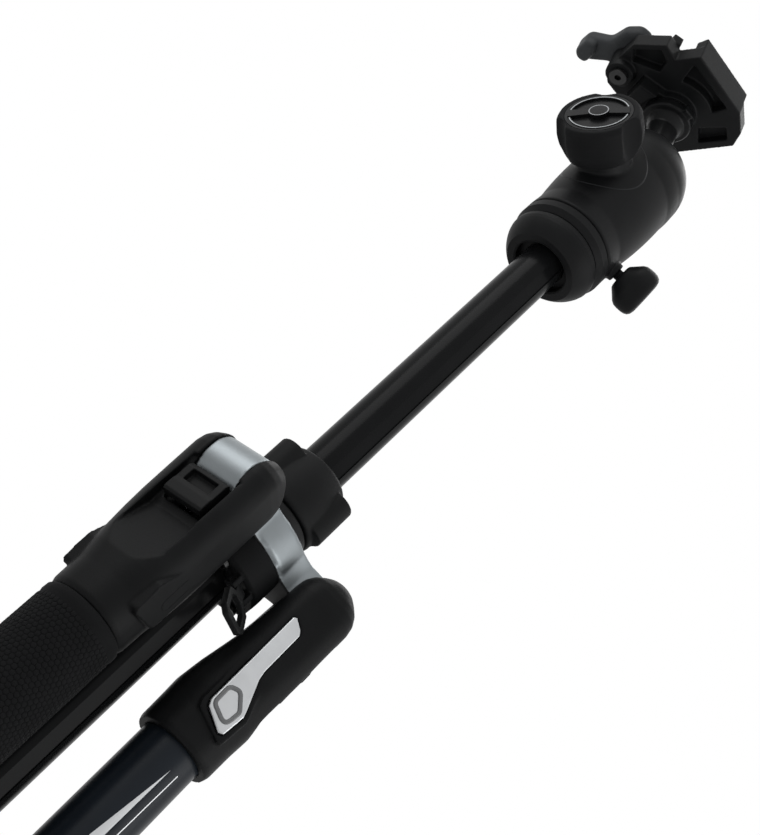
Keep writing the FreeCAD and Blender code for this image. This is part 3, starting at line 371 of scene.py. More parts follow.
def striped_tube(name, colour, stripe, letter):
    """The top section's anodising, with a long tapering flash and a thin line beside it."""
    finish = Finish(name, 0.33, 0.0, 0.15)
    turn = math.radians(LEGS[letter])
    # Heights and lengths are in millimetres, and edges in degrees round the tube
    flash_top, flash_length, flash_edge = 297.5, 147.5, -72.0
    line_edge, line_half, line_top, line_foot = -55.6, 0.85, -0.7, 126.0
    x, y, z = (finish.axis(axis) for axis in "XYZ")
    outward = x * math.cos(turn) + y * math.sin(turn) - LEG_LINE
    across = y * math.cos(turn) - x * math.sin(turn)
    angle = across.maths("ARCTAN2", outward) * (180.0 / math.pi)
    down = flash_top - z * 1000.0
    right_edge = flash_edge - down * 0.1
    width = (down * 0.49).least((flash_length - down) * 0.14)
    flash = (angle < right_edge) * (angle > right_edge - width) * (width > 0.0)
    line = (angle - line_edge + down * 0.145).size() < line_half
    line = line * (down > line_top) * (down < line_foot)
    mask = flash.most(line)
    cloud = finish.noise(22 * MM, 3.0)
    rub = finish.noise(1.3 * MM, 3.0, ALONG)
    base = finish.mottled(cloud, 0.3, 0.75, colour, 0.88, 1.18)
    finish.colour(finish.blend(mask, base, stripe))
    finish.dull(0.28 + cloud * 0.06 + rub * 0.06 + mask * 0.08)
    finish.metal(mask * 0.6)
    finish.relief(rub, 0.006 * MM)
    return finish.material


def knob_axis():
    """The middle of the ball knob's ring, and in radians how far round the head it lies."""
    low, high = (Vector(corner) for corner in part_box("knob_ring"))
    middle = (low + high) / 2
    return middle, math.atan2(middle.y, middle.x)


def from_knob_axis(finish):
    """How far a point is from the ball knob's axis, in millimetres."""
    middle, turn = knob_axis()
    x, y, z = (finish.axis(axis) for axis in "XYZ")
    across = y * math.cos(turn) - x * math.sin(turn)
    rise = z - middle.z
    return (across * across + rise * rise).root() * 1000.0


def knob_side(finish):
    """1 on the half of the head where the ball knob is, and 0 on the other."""
    turn = knob_axis()[1]
    return (finish.axis("X") * math.cos(turn) + finish.axis("Y") * math.sin(turn)) > 0.0


def housing_coat(name, colour):
    """The housing's satin paint, with a painted highlight round the rim of the round seat under the knob.
    """
    finish = Finish(name, 0.44, 0.0, 0.1)
    cloud = finish.noise(16 * MM, 3.0)
    speck = finish.noise(0.4 * MM, 3.0)
    reach = from_knob_axis(finish)
    near = knob_side(finish)
    # Painted highlight: a thin band round the knob's seat, on the knob's side of the head, mixed part way
    # to six times the paint's colour
    seat_highlight = (1.0 - (reach - KNOB_SEAT).size().ramp(0.08, 0.3)) * near
    base = finish.mottled(cloud, 0.35, 0.7, colour, 0.86, 1.2)
    finish.colour(finish.blend(seat_highlight * 0.4, base, tinted(colour, 6.0)))
    finish.dull(0.4 + cloud * 0.07 + speck * 0.05 - seat_highlight * 0.1)
    finish.relief(speck, 0.012 * MM)
    finish.relief((1.0 - reach.ramp(KNOB_SEAT - 0.3, KNOB_SEAT + 0.2)) * near, 0.35 * MM)
    return finish.material


def bright_line(name, colour, dark):
    """The ring let into the knob's face, bright along its middle and black at its rims."""
    finish = Finish(name, 0.24, 0.0, 0.3)
    reach = from_knob_axis(finish)
    line = 1.0 - (reach - RING_LINE).size().ramp(0.12, 0.3)
    fine = finish.noise(0.3 * MM, 2.0)
    finish.colour(finish.blend(line, dark, colour))
    finish.metal(line)
    finish.dull(0.22 + fine * 0.08)
    finish.relief(fine, 0.004 * MM)
    return finish.material


def crown_silver(name, colour, under):
    """The crown's blasted silver, black, rougher and not metal on its underside near the middle."""
    under_radius = 26.2 * MM
    finish = Finish(name, 0.4, 1.0)
    cloud, fine, base = satin(finish, colour)
    x, y, z = (finish.axis(axis) for axis in "XYZ")
    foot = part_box("spider_body")[1][2]
    inside = ((x * x + y * y).root() < under_radius) * (z < foot + 0.5 * MM)
    finish.colour(finish.blend(inside, base, under))
    finish.metal(1.0 - inside)
    finish.dull(0.36 + cloud * 0.05 + fine * 0.07 + inside * 0.2)
    return finish.material


def cap_satin(name, colour, bright):
    """The knob's face: satin black, with a bright line round the boss in its middle."""
    finish = Finish(name, 0.22, 0.0, 0.12)
    reach = from_knob_axis(finish)
    line = 1.0 - (reach - BOSS_LINE).size().ramp(0.12, 0.3)
    cloud = finish.noise(8 * MM, 2.0)
    fine = finish.noise(0.3 * MM, 2.0)
    base = finish.mottled(cloud, 0.3, 0.7, colour, 0.8, 1.3)
    finish.colour(finish.blend(line, base, bright))
    finish.metal(line * 0.9)
    finish.dull(0.2 + cloud * 0.06 + fine * 0.05)
    finish.relief(fine, 0.004 * MM)
    return finish.material


def pale_floor():
    """The floor: pale round the tripod, and further off as white as the room, for the camera alone."""
    finish = Finish("pale_floor", 0.9)
    finish.colour((0.86, 0.86, 0.86))
    x, y = finish.axis("X"), finish.axis("Y")
    far = (x * x + y * y).root().ramp(*FLOOR_FADE)
    seen = finish.node("ShaderNodeLightPath", {}, {}, "Is Camera Ray")
    white = finish.node("ShaderNodeEmission", {}, {"Color": WHITE, "Strength": 1.0})
    mix = finish.node("ShaderNodeMixShader", {}, {"Fac": far * seen})
    out = next(node for node in finish.tree.nodes if node.type == "OUTPUT_MATERIAL")
    finish.tree.links.new(finish.surface.outputs[0], mix.socket.node.inputs[1])
    finish.tree.links.new(white.socket, mix.socket.node.inputs[2])
    finish.tree.links.new(mix.socket, out.inputs["Surface"])
    return finish.material


# Pieces in the scene

def dress(node, material):
    """Gives a carried-over node its finish."""
    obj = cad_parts[node]
    obj.data.materials.clear()
    obj.data.materials.append(material)
    return obj


def new_piece(name, mesh, material, body, nodes):
    """Puts a finished mesh in the scene for the nodes it stands for."""
    piece = bpy.data.objects.new(name, mesh)
    bpy.context.scene.collection.objects.link(piece)
    mesh.materials.clear()
    mesh.materials.append(material)
    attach(piece, body)
    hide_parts(*nodes)
    return piece


def cast_piece(name, node, material, body, kind=None):
    """Puts a node's eased casting in its place."""
    return new_piece(name, softened(node, kind or node), material, body, [node])


# Shapes

def settled(obj):
    """The evaluated object as a plain mesh."""
    graph = bpy.context.evaluated_depsgraph_get()
    return bpy.data.meshes.new_from_object(obj.evaluated_get(graph))


def eased(mesh, kind):
    """A closed mesh, or several that meet, as one with its edges and inner corners rounded."""
    voxel, rounds = EASE[kind]
    obj = bpy.data.objects.new("work", mesh)
    bpy.context.scene.collection.objects.link(obj)
    remesh = obj.modifiers.new("remesh", "REMESH")
    remesh.mode = "VOXEL"
    remesh.voxel_size = voxel
    remesh.use_smooth_shade = True
    smooth = obj.modifiers.new("smooth", "SMOOTH")
    smooth.factor = 0.5
    smooth.iterations = rounds
    result = settled(obj)
    bpy.data.objects.remove(obj)
    return smooth_shaded(result)


def softened(node, kind):
    """A casting's mesh from the frame, eased."""
    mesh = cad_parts[node].data.copy()
    work = bmesh.new()
    work.from_mesh(mesh)
    bmesh.ops.remove_doubles(work, verts=work.verts, dist=1e-6)
    work.to_mesh(mesh)
    work.free()
    return eased(mesh, kind)


def bored(mesh, centre, radius, low, high):
    """A mesh with a round upright hole through it."""
    drill = turned_mesh("drill", [(0.0, low), (radius, low), (radius, high), (0.0, high)], 48)
    drill.transform(Matrix.Translation((centre[0], centre[1], 0.0)))
    block = bpy.data.objects.new("block", mesh)
    tool = bpy.data.objects.new("drill", drill)
    for obj in (block, tool):
        bpy.context.scene.collection.objects.link(obj)
    hole = block.modifiers.new("hole", "BOOLEAN")
    hole.operation = "DIFFERENCE"
    hole.solver = "EXACT"
    hole.use_self = True
    hole.object = tool
    result = settled(block)
    bpy.data.objects.remove(block)
    bpy.data.objects.remove(tool)
    return result


def smooth_shaded(mesh):
    for face in mesh.polygons:
        face.use_smooth = True
    return mesh


def mesh_of(name, verts, faces):
    """A mesh from its points and faces, with doubles merged and all faces pointing outwards."""
    mesh = bpy.data.meshes.new(name)
    mesh.from_pydata([tuple(vert) for vert in verts], [], faces)
    work = bmesh.new()
    work.from_mesh(mesh)
    bmesh.ops.remove_doubles(work, verts=work.verts, dist=1e-7)
    bmesh.ops.recalc_face_normals(work, faces=work.faces)
    work.to_mesh(mesh)
    work.free()
    return smooth_shaded(mesh)


def moved(mesh, matrix):
    """The same mesh, put in another place."""
    mesh.transform(matrix)
    return mesh


def joined(name, meshes):
    """Several meshes as one."""
    work = bmesh.new()
    for mesh in meshes:
        work.from_mesh(mesh)
    result = bpy.data.meshes.new(name)
    work.to_mesh(result)
    work.free()
    return result


def outlined(mesh, first):
    """Marks the points from the first on as the outline raised on the mesh."""
    mark = mesh.attributes.new("outline", "FLOAT", "POINT")
    for index in range(len(mesh.vertices)):
        mark.data[index].value = 1.0 if index >= first else 0.0
    return mesh


def coil_mesh(name, middle, radius, wire, low, high, turns, steps=20, sides=8):
    """One wire wound round an upright line, with both of its ends closed."""
    verts, faces = [], []
    count = turns * steps + 1
    rise = (high - low - 2 * wire) / (count - 1)
    for index in range(count):
        angle = 2 * math.pi * index / steps
        for side in range(sides):
            lean = 2 * math.pi * side / sides
            reach = radius + wire * math.cos(lean)
            verts.append((middle.x + reach * math.cos(angle), middle.y + reach * math.sin(angle),
                          low + wire + rise * index + wire * math.sin(lean)))
    for index in range(count - 1):
        for side in range(sides):
            here, follow = index * sides + side, index * sides + (side + 1) % sides
            faces.append((here, here + sides, follow + sides, follow))
    faces.append(tuple(range(sides)))
    faces.append(tuple(reversed(range((count - 1) * sides, count * sides))))
    return mesh_of(name, verts, faces)


def on_leg(letter, x=LEG_LINE):
    """Moves a piece built round the Z axis on to a leg's line."""
    turn = Matrix.Rotation(math.radians(LEGS[letter]), 4, "Z")
    return turn @ Matrix.Translation((x, 0.0, 0.0))


# Geometry Nodes: one item repeated round a cylinder in rows

def ring_tree():
    """Copies an item, built on the +X side, round the Z axis in rows that may be staggered."""
    tree = bpy.data.node_groups.new("ring_rows", "GeometryNodeTree")
    face = tree.interface
    face.new_socket("Item", in_out="INPUT", socket_type="NodeSocketObject")
    for name, kind in (
            ("Around", "NodeSocketInt"), ("Rows", "NodeSocketInt"), ("Radius", "NodeSocketFloat"),
            ("Foot", "NodeSocketFloat"), ("Row Step", "NodeSocketFloat"),
            ("Stagger", "NodeSocketFloat"), ("Start Turn", "NodeSocketFloat")):
        face.new_socket(name, in_out="INPUT", socket_type=kind)
    face.new_socket("Material", in_out="INPUT", socket_type="NodeSocketMaterial")
    face.new_socket("Geometry", in_out="OUTPUT", socket_type="NodeSocketGeometry")
    nodes, links = tree.nodes, tree.links
    given = nodes.new("NodeGroupInput").outputs
    out = nodes.new("NodeGroupOutput")

    def maths(operation, first, second):
        node = nodes.new("ShaderNodeMath")
        node.operation = operation
        for slot, value in zip(node.inputs, (first, second)):
            if isinstance(value, (int, float)):
                slot.default_value = value
            else:
                links.new(value, slot)
        return node.outputs[0]

    index = nodes.new("GeometryNodeInputIndex").outputs[0]
    row = maths("FLOOR", maths("DIVIDE", index, given["Around"]), 0.0)
    column = maths("SUBTRACT", index, maths("MULTIPLY", row, given["Around"]))
    shifted = maths("ADD", column, maths("MULTIPLY", given["Stagger"], maths("MODULO", row, 2.0)))
    step = maths("DIVIDE", 2.0 * math.pi, given["Around"])
    angle = maths("ADD", maths("MULTIPLY", shifted, step), given["Start Turn"])
    place = nodes.new("ShaderNodeCombineXYZ")
    links.new(maths("MULTIPLY", given["Radius"], maths("COSINE", angle, 0.0)), place.inputs[0])
    links.new(maths("MULTIPLY", given["Radius"], maths("SINE", angle, 0.0)), place.inputs[1])
    links.new(maths("ADD", given["Foot"], maths("MULTIPLY", row, given["Row Step"])), place.inputs[2])
    points = nodes.new("GeometryNodePoints")
    links.new(maths("MULTIPLY", given["Around"], given["Rows"]), points.inputs["Count"])
    links.new(place.outputs[0], points.inputs["Position"])
    turn = nodes.new("ShaderNodeCombineXYZ")
    links.new(angle, turn.inputs[2])
    item = nodes.new("GeometryNodeObjectInfo")
    links.new(given["Item"], item.inputs["Object"])
    copies = nodes.new("GeometryNodeInstanceOnPoints")
    links.new(points.outputs[0], copies.inputs["Points"])
    links.new(item.outputs["Geometry"], copies.inputs["Instance"])
    links.new(turn.outputs[0], copies.inputs["Rotation"])
    real = nodes.new("GeometryNodeRealizeInstances")
    links.new(copies.outputs[0], real.inputs[0])
    painted = nodes.new("GeometryNodeSetMaterial")
    links.new(real.outputs[0], painted.inputs["Geometry"])
    links.new(given["Material"], painted.inputs["Material"])
    links.new(painted.outputs[0], out.inputs[0])
    return tree


def ring_of(item, material, **sizes):
    """Runs the ring tree on an item's mesh and returns the copies as one mesh."""
    tree = bpy.data.node_groups.get("ring_rows") or ring_tree()
    source = bpy.data.objects.new("ring_item", item)
    holder = bpy.data.objects.new("ring_holder", bpy.data.meshes.new("ring_holder"))
    for obj in (source, holder):
        bpy.context.scene.collection.objects.link(obj)
    repeat = holder.modifiers.new("rows", "NODES")
    repeat.node_group = tree
    values = {"Item": source, "Material": material, "Around": 1, "Rows": 1, "Radius": 0.0, "Foot": 0.0,
              "Row Step": 0.0, "Stagger": 0.0, "Start Turn": 0.0}
    values.update({name.replace("_", " ").title(): value for name, value in sizes.items()})
    for socket in tree.interface.items_tree:
        if socket.in_out == "INPUT":
            repeat[socket.identifier] = values[socket.name]
    result = settled(holder)
    bpy.data.objects.remove(holder)
    bpy.data.objects.remove(source)
    return result


def bands(levels, count):
    """The faces between rings of points that lie one above the other."""
    faces = []
    for level in range(levels - 1):
        here, above = level * count, (level + 1) * count
        for index in range(count):
            follow = (index + 1) % count
            faces.append((here + index, here + follow, above + follow, above + index))
    return faces


def rib(width, height, depth, sink=0.6 * MM, sides=12):
    """An upright rounded bar that stands out along +X."""
    levels = ((-sink, 0.0), (depth * 0.35, 0.0), (depth * 0.8, 0.18), (depth, 0.45))
    half_w, half_h = width / 2, height / 2
    verts = []
    for out, shrink in levels:
        for step in range(sides):
            angle = 2 * math.pi * step / sides
            reach = min(abs(math.cos(angle)) * 1.2, 1.0)
            side = math.copysign(reach, math.cos(angle)) * half_w * (1 - shrink)
            rise = math.sin(angle)
            lift = math.copysign(half_h - half_w, rise) if abs(rise) > 1e-6 else 0.0
            verts.append((out, side, lift + rise * half_w * (1 - shrink)))
    faces = bands(len(levels), sides)
    faces.append(tuple(range(sides - 1, -1, -1)))
    faces.append(tuple((len(levels) - 1) * sides + step for step in range(sides)))
    return mesh_of("rib", verts, faces)


def scale_stud(width, height, depth, sink=0.25 * MM, sides=6):
    """One low six-sided scale of the grip's relief."""
    levels = ((-sink, 1.0), (depth * 0.55, 0.92), (depth, 0.5))
    verts = []
    for out, grow in levels:
        for step in range(sides):
            angle = math.pi / 2 + math.pi * step / 3
            verts.append((out, math.cos(angle) * width / math.sqrt(3) * grow,
                          math.sin(angle) * height / 2 * grow))
    faces = bands(len(levels), sides)
    faces.append(tuple((len(levels) - 1) * sides + step for step in range(sides)))
    return mesh_of("scale", verts, faces)


def rounded_path(corners, radius, steps=6):
    """A closed path through corners, each rounded by a radius."""
    path = []
    count = len(corners)
    for index, corner in enumerate(corners):
        here = Vector(corner)
        back = Vector(corners[index - 1]) - here
        ahead = Vector(corners[(index + 1) % count]) - here
        run = min(radius / math.tan(back.angle(ahead) / 2), back.length * 0.48, ahead.length * 0.48)
        start, end = here + back.normalized() * run, here + ahead.normalized() * run
        for step in range(steps + 1):
            part = step / steps
            path.append(start * (1 - part) ** 2 + here * (2 * part * (1 - part)) + end * part ** 2)
    return path


def outline(corners, radius, foot=(0.0, 0.0)):
    """A rounded path through corners in millimetres, measured from a foot in metres."""
    return rounded_path([(foot[0] + x * MM, foot[1] + y * MM) for x, y in corners], radius * MM)


def eased_slab(path, low, high, ease):
    """A flat piece with a closed outline, counter-clockwise seen from above, and eased rims."""
    rims = ((0.0, 1.0), (0.3, 0.3), (1.0, 0.0))
    levels = [(low + ease * rise, ease * inset) for rise, inset in rims]
    levels += [(high - ease * rise, ease * inset) for rise, inset in reversed(rims)]
    count = len(path)
    verts = []
    for height, inset in levels:
        for index, here in enumerate(path):
            way = (path[(index + 1) % count] - path[index - 1]).normalized()
            verts.append((here.x - way.y * inset, here.y + way.x * inset, height))
    faces = bands(len(levels), count)
    faces.append(tuple(range(count - 1, -1, -1)))
    faces.append(tuple((len(levels) - 1) * count + index for index in range(count)))
    return mesh_of("eased_slab", verts, faces)


def raised_line(path, width, height, face, out=-1.0, sink=0.15 * MM):
    """A low bar along a closed path of (across, up) points on a flat face at a distance along Y."""
    section = ((-0.5, -sink), (-0.5, height * 0.5), (-0.22, height),
               (0.22, height), (0.5, height * 0.5), (0.5, -sink))
    sides = len(section)
    verts, faces = [], []
    count = len(path)
    for index, here in enumerate(path):
        way = (path[(index + 1) % count] - path[index - 1]).normalized()
        side = Vector((way.y, -way.x))
        for offset, proud in section:
            spot = here + side * (offset * width)
            verts.append((spot.x, (face + proud) * out, spot.y))
    for index in range(count):
        here, there = index * sides, (index + 1) % count * sides
        for corner in range(sides):
            follow = (corner + 1) % sides
            faces.append((here + corner, there + corner, there + follow, here + follow))
    return mesh_of("raised_line", verts, faces)


def lobed_mesh(name, profile, lobes, depth, lead, steps=96):
    """A profile of (radius, height, share) turned round the Z axis with its radius swelling into lobes,
    as far as each point's share of their depth."""
    verts = []
    for radius, height, share in profile:
        for step in range(steps):
            angle = 2 * math.pi * step / steps
            swell = radius * (1 + depth * share * math.cos(lobes * (angle - lead)))
            verts.append((swell * math.cos(angle), swell * math.sin(angle), height))
    faces = bands(len(profile), steps)
    return mesh_of(name, verts, faces)


def turned_mesh(name, profile, steps=96):
    """A profile of (radius, height) turned round the Z axis, closed on itself."""
    verts, faces = [], []
    count = len(profile)
    for step in range(steps):
        angle = 2 * math.pi * step / steps
        for radius, height in profile:
            verts.append((radius * math.cos(angle), radius * math.sin(angle), height))
    for step in range(steps):
        here, there = step * count, (step + 1) % steps * count
        for point in range(count):
            follow = (point + 1) % count
            if profile[point][0] > 1e-9 or profile[follow][0] > 1e-9:
                faces.append((here + point, there + point, there + follow, here + follow))
    return mesh_of(name, verts, faces)


def grip_mesh(grip, around):
    """The rubber grip: a sleeve with two soft beads, and rows of scales between them."""
    low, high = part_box("grip_a")
    radius = (high[1] - low[1]) / 2
    width = 2 * math.pi * radius / around
    rows = int((high[2] - low[2] - SCALES_MARGIN) / (width * SCALE_STEP))
    scales = ring_of(scale_stud(width * 0.97, width * 1.12, SCALE_DEPTH), grip, around=around, rows=rows,
                     radius=radius - 0.25 * MM, foot=low[2] + SCALES_FOOT, row_step=width * SCALE_STEP,
                     stagger=0.5)
    sleeve = turned_mesh("grip_core", [
        (GRIP_BORE, low[2]), (radius - 1.2 * MM, low[2]), (radius - 0.2 * MM, low[2] + 1.0 * MM),
        (radius, low[2] + 2.2 * MM), (radius - 0.25 * MM, low[2] + 3.4 * MM),
        (radius - 0.25 * MM, high[2] - 4.2 * MM), (radius, high[2] - 3.2 * MM),
        (radius - 0.1 * MM, high[2] - 1.0 * MM), (radius - 0.8 * MM, high[2]), (GRIP_BORE, high[2])])
    return joined("grip_relief", [moved(sleeve, on_leg("a")), moved(scales, on_leg("a"))])


def pan_knob_mesh():
    """The pan knob on its shaft, turned to its side of the head."""
    low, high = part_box("pan_knob")
    profile = [(radius * MM, height * MM, share) for radius, height, share in PAN_KNOB_PROFILE]
    lobed = lobed_mesh("pan_knob_lobes", profile, PAN_KNOB_LOBES, PAN_KNOB_SWELL,
                       math.radians(PAN_KNOB_LEAD))
    lobed.transform(Matrix.Translation((0.0, 0.0, (low[2] + high[2]) / 2))
                    @ Matrix.Rotation(math.radians(PAN_KNOB_TURN), 4, "Z")
                    @ Matrix.Rotation(math.radians(90.0), 4, "Y"))
    return lobed


def paddle_mesh():
    """The clamp lever's paddle: an arm whose tip reaches lower, with a round hole for its pin."""
    arm = eased_slab(outline(LEVER_ARM, 5.0), 50.2 * MM, 57.1 * MM, 1.8 * MM)
    tip = eased_slab(outline(LEVER_TIP, 4.0), 46.7 * MM, 53.6 * MM, 2.0 * MM)
    pierced = bored(joined("paddle", [arm, tip]), PIN_PLACE, PIN_HOLE, 0.04, 0.07)
    return moved(eased(pierced, "clamp_lever"), ON_CLAMP)


# The studio

def lay_floor(scene):
    corners = [(x * FLOOR_REACH, y * FLOOR_REACH, 0) for x, y in ((-1, -1), (1, -1), (1, 1), (-1, 1))]
    mesh = bpy.data.meshes.new("floor")
    mesh.from_pydata(corners, [], [(0, 1, 2, 3)])
    floor = bpy.data.objects.new("floor", mesh)
    floor.location = (0.0, 0.0, -FLOOR_DROP)
    scene.collection.objects.link(floor)
    mesh.materials.append(pale_floor())


def light_room(scene):
    """Soft light from all round, and plain white where the camera or a gloss or clear surface looks."""
    world = bpy.data.worlds.new("studio")
    world.use_nodes = True
    scene.world = world
    nodes, links = world.node_tree.nodes, world.node_tree.links
    nodes.clear()
    out = nodes.new("ShaderNodeOutputWorld")
    room = nodes.new("ShaderNodeBackground")
    room.inputs["Color"].default_value = WHITE
    room.inputs["Strength"].default_value = ROOM_LIGHT
    white = nodes.new("ShaderNodeBackground")
    white.inputs["Color"].default_value = WHITE
    white.inputs["Strength"].default_value = 1.0
    ray = nodes.new("ShaderNodeLightPath")
    seen = ray.outputs["Is Camera Ray"]
    for kind in ("Is Glossy Ray", "Is Transmission Ray"):
        either = nodes.new("ShaderNodeMath")
        either.operation = "MAXIMUM"
        links.new(seen, either.inputs[0])
        links.new(ray.outputs[kind], either.inputs[1])
        seen = either.outputs[0]
    mix = nodes.new("ShaderNodeMixShader")
    links.new(seen, mix.inputs[0])
    links.new(room.outputs[0], mix.inputs[1])
    links.new(white.outputs[0], mix.inputs[2])
    links.new(mix.outputs[0], out.inputs["Surface"])


def hang_lamps(scene):
    for name, place, aim, size, watts in LAMPS:
        lamp = bpy.data.lights.new(name, "AREA")
        lamp.size = size
        lamp.energy = watts
        holder = bpy.data.objects.new(name, lamp)
        holder.location = place
        way = Vector(aim) - Vector(place)
        holder.rotation_euler = way.to_track_quat("-Z", "Y").to_euler()
        scene.collection.objects.link(holder)


def set_camera(scene):
    view = bpy.data.cameras.new("camera")
    view.sensor_width = CAMERA_SENSOR
    view.lens = CAMERA_LENS
    view.shift_x, view.shift_y = CAMERA_SHIFT
    view.clip_start = 0.01
    camera = bpy.data.objects.new("camera", view)
    right = Vector(CAMERA_RIGHT).normalized()
    ahead = Vector(CAMERA_AHEAD)
    ahead = (ahead - right * ahead.dot(right)).normalized()
    up = right.cross(ahead)
    turn = Matrix((right, up, -ahead)).transposed()
    camera.matrix_world = Matrix.Translation(CAMERA_PLACE) @ turn.to_4x4()
    scene.collection.objects.link(camera)
    scene.camera = camera


# Colours and sizes that a user may change

class TripodFinishes(bpy.types.PropertyGroup):
    casting: bpy.props.FloatVectorProperty(
        name="Casting black", description="Paint of the leg shoulders", subtype="COLOR", size=3,
        default=(0.0052, 0.0055, 0.0058), min=0.0, max=1.0)
    tube: bpy.props.FloatVectorProperty(
        name="Tube black", description="Anodising of the leg tubes", subtype="COLOR", size=3,
        default=(0.0075, 0.0105, 0.0150), min=0.0, max=1.0)
    head: bpy.props.FloatVectorProperty(
        name="Head black", description="Paint of the ball head", subtype="COLOR", size=3,
        default=(0.0065, 0.0068, 0.0072), min=0.0, max=1.0)
    silver: bpy.props.FloatVectorProperty(
        name="Crown silver", description="Casting that carries the hinges", subtype="COLOR", size=3,
        default=(0.22, 0.24, 0.25), min=0.0, max=1.0)
    inlay: bpy.props.FloatVectorProperty(
        name="Inlay silver", description="Plate on each shoulder's flank", subtype="COLOR", size=3,
        default=(0.50, 0.51, 0.52), min=0.0, max=1.0)
    rubber: bpy.props.FloatVectorProperty(
        name="Rubber", description="Grip, knob and feet", subtype="COLOR", size=3,
        default=(0.0062, 0.0064, 0.0068), min=0.0, max=1.0)
    stripe: bpy.props.FloatVectorProperty(
        name="Stripe", description="Tapering line along each leg", subtype="COLOR", size=3,
        default=(0.55, 0.56, 0.57), min=0.0, max=1.0)
    grip_scales: bpy.props.IntProperty(
        name="Scales round the grip", description="How many raised scales go once round the rubber grip",
        default=52, min=12, max=80)


# One operator for each group of pieces, and one for the studio

class TRIPOD_OT_castings(bpy.types.Operator):
    bl_idname = "tripod.castings"
    bl_label = "Leg shoulders"
    bl_description = "Round the leg shoulders' castings and finish what is set in them"

    def execute(self, context):
        """Makes the three shoulders, their inlays, bolts and angle sliders."""
        looks = context.scene.tripod_finishes
        coat = powder_coat("casting_coat", looks.casting, 0.46, 0.5 * MM, 0.06 * MM, 0.085)
        plate = inlay_satin("inlay_satin", looks.inlay, tinted(looks.inlay, 0.26))
        steel = satin_metal("bolt_steel", (0.4, 0.4, 0.41), 0.3)
        plastic = powder_coat("slider_plastic", tinted(looks.casting, 0.8), 0.5, 0.35 * MM, 0.02 * MM,
                              0.12)
        wire = satin_metal("spring_wire", (0.35, 0.35, 0.36), 0.32)
        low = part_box("inlay_plate_b")[0]
        pad = outline(PAD_CORNERS, CORNER_RADIUS, (low[0], low[2]))
        pill = outline(PILL_CORNERS, CORNER_RADIUS, (low[0], low[2]))
        corners = [Vector(corner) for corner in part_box("slider_spring_b")]
        coil_foot, coil_top = corners[0].z, corners[1].z
        coil = coil_mesh("spring_coil", (corners[0] + corners[1]) / 2,
                         (corners[1].y - corners[0].y) / 2 - COIL_INSET,
                         COIL_WIRE, coil_foot, coil_top, COIL_TURNS)
        for letter in LEGS:
            turn = on_leg(letter, 0.0)
            casting = softened("shoulder_" + letter, "shoulder")
            if letter == "a":
                line = raised_line(pill, 0.4 * MM, 0.12 * MM, -low[1] - 0.9 * MM, 1.0)
                casting = joined("shoulder_lined", [casting, moved(line, turn)])
            new_piece("shoulder_casting_" + letter, casting, coat, "leg_" + letter,
                      ["shoulder_" + letter])
            rim = raised_line(pad, 1.6 * MM, 0.4 * MM, -low[1])
            flat = softened("inlay_plate_" + letter, "inlay_plate")
            inlay = outlined(joined("inlay_rimmed", [flat, moved(rim, turn)]), len(flat.vertices))
            new_piece("inlay_satin_" + letter, inlay, plate, "leg_" + letter,
                      ["inlay_plate_" + letter])
            cast_piece("slider_moulding_" + letter, "angle_slider_" + letter, plastic,
                       "slider_" + letter, "angle_slider")
            dress("hinge_bolt_" + letter, steel)
            spring = new_piece("spring_coil_" + letter, moved(coil.copy(), turn), wire, "leg_" + letter,
                               ["slider_spring_" + letter])
            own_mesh(spring)
        return {"FINISHED"}


class TRIPOD_OT_tubes(bpy.types.Operator):
    bl_idname = "tripod.tubes"
    bl_label = "Leg tubes"
    bl_description = "Finish the telescopic sections, their twist locks and feet"

    def execute(self, context):
        """Finishes the tubes, locks, feet and the rubber grip."""
        looks = context.scene.tripod_finishes
        tube = smooth_black("tube_anodised", looks.tube, 0.33, 0.4, ALONG)
        lock = rubber("lock_rubber", looks.rubber)
        foot = rubber("foot_rubber", tinted(looks.rubber, 1.3), 0.85)
        grip = rubber("grip_rubber", looks.rubber)
        for letter in LEGS:
            flash = striped_tube("tube_flash_" + letter, looks.tube, looks.stripe, letter)
            dress("tube_1_" + letter, flash)
            for number in range(2, 5):
                dress("tube_%d_%s" % (number, letter), tube)
            for number in range(1, 4):
                node = "twist_lock_%d_%s" % (number, letter)
                low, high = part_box(node)
                radius = (high[1] - low[1]) / 2
                ribs = ring_of(rib(*LOCK_RIB), lock, around=LOCK_RIBS, radius=radius - 0.1 * MM,
                               foot=low[2] + LOCK_RIB_HEIGHT)
                body = joined(node + "_ribbed", [softened(node, "twist_lock"), moved(ribs, on_leg(letter))])
                new_piece("lock_grip_%d_%s" % (number, letter), body, lock,
                          "lock_%d_%s" % (number, letter), [node])
            dress("foot_" + letter, foot)
        body = grip_mesh(grip, looks.grip_scales)
        new_piece("grip_sleeve", body, grip, "leg_a", ["grip_a"])
        return {"FINISHED"}


class TRIPOD_OT_spider(bpy.types.Operator):
    bl_idname = "tripod.spider"
    bl_label = "Spider and collar"
    bl_description = "Finish the crown that carries the legs, the body below it and the locking collar"

    def execute(self, context):
        """Makes the crown, spider body, neck ring, collar, screws and hang loop."""
        looks = context.scene.tripod_finishes
        crown = crown_silver("crown_silver", looks.silver, looks.casting)
        body = powder_coat("spider_coat", looks.casting, 0.55, 0.5 * MM, 0.06 * MM, 0.07)
        ring = powder_coat("neck_grain", looks.casting, 0.5, 0.9 * MM, 0.14 * MM, 0.16)
        collar = powder_coat("collar_grain", looks.casting, 0.55, 0.45 * MM, 0.03 * MM)
        screw = satin_metal("screw_black", (0.05, 0.05, 0.05), 0.4)
        loop = powder_coat("loop_coat", looks.casting, 0.5)
        cast_piece("crown_casting", "spider_crown", crown, "spider")
        cast_piece("spider_casting", "spider_body", body, "spider")
        cast_piece("collar_moulding", "lock_collar", collar, "lock_collar")
        dress("neck_ring", ring)
        dress("spider_screws", screw)
        cast_piece("loop_casting", "hang_loop", loop, "hang_loop")
        return {"FINISHED"}


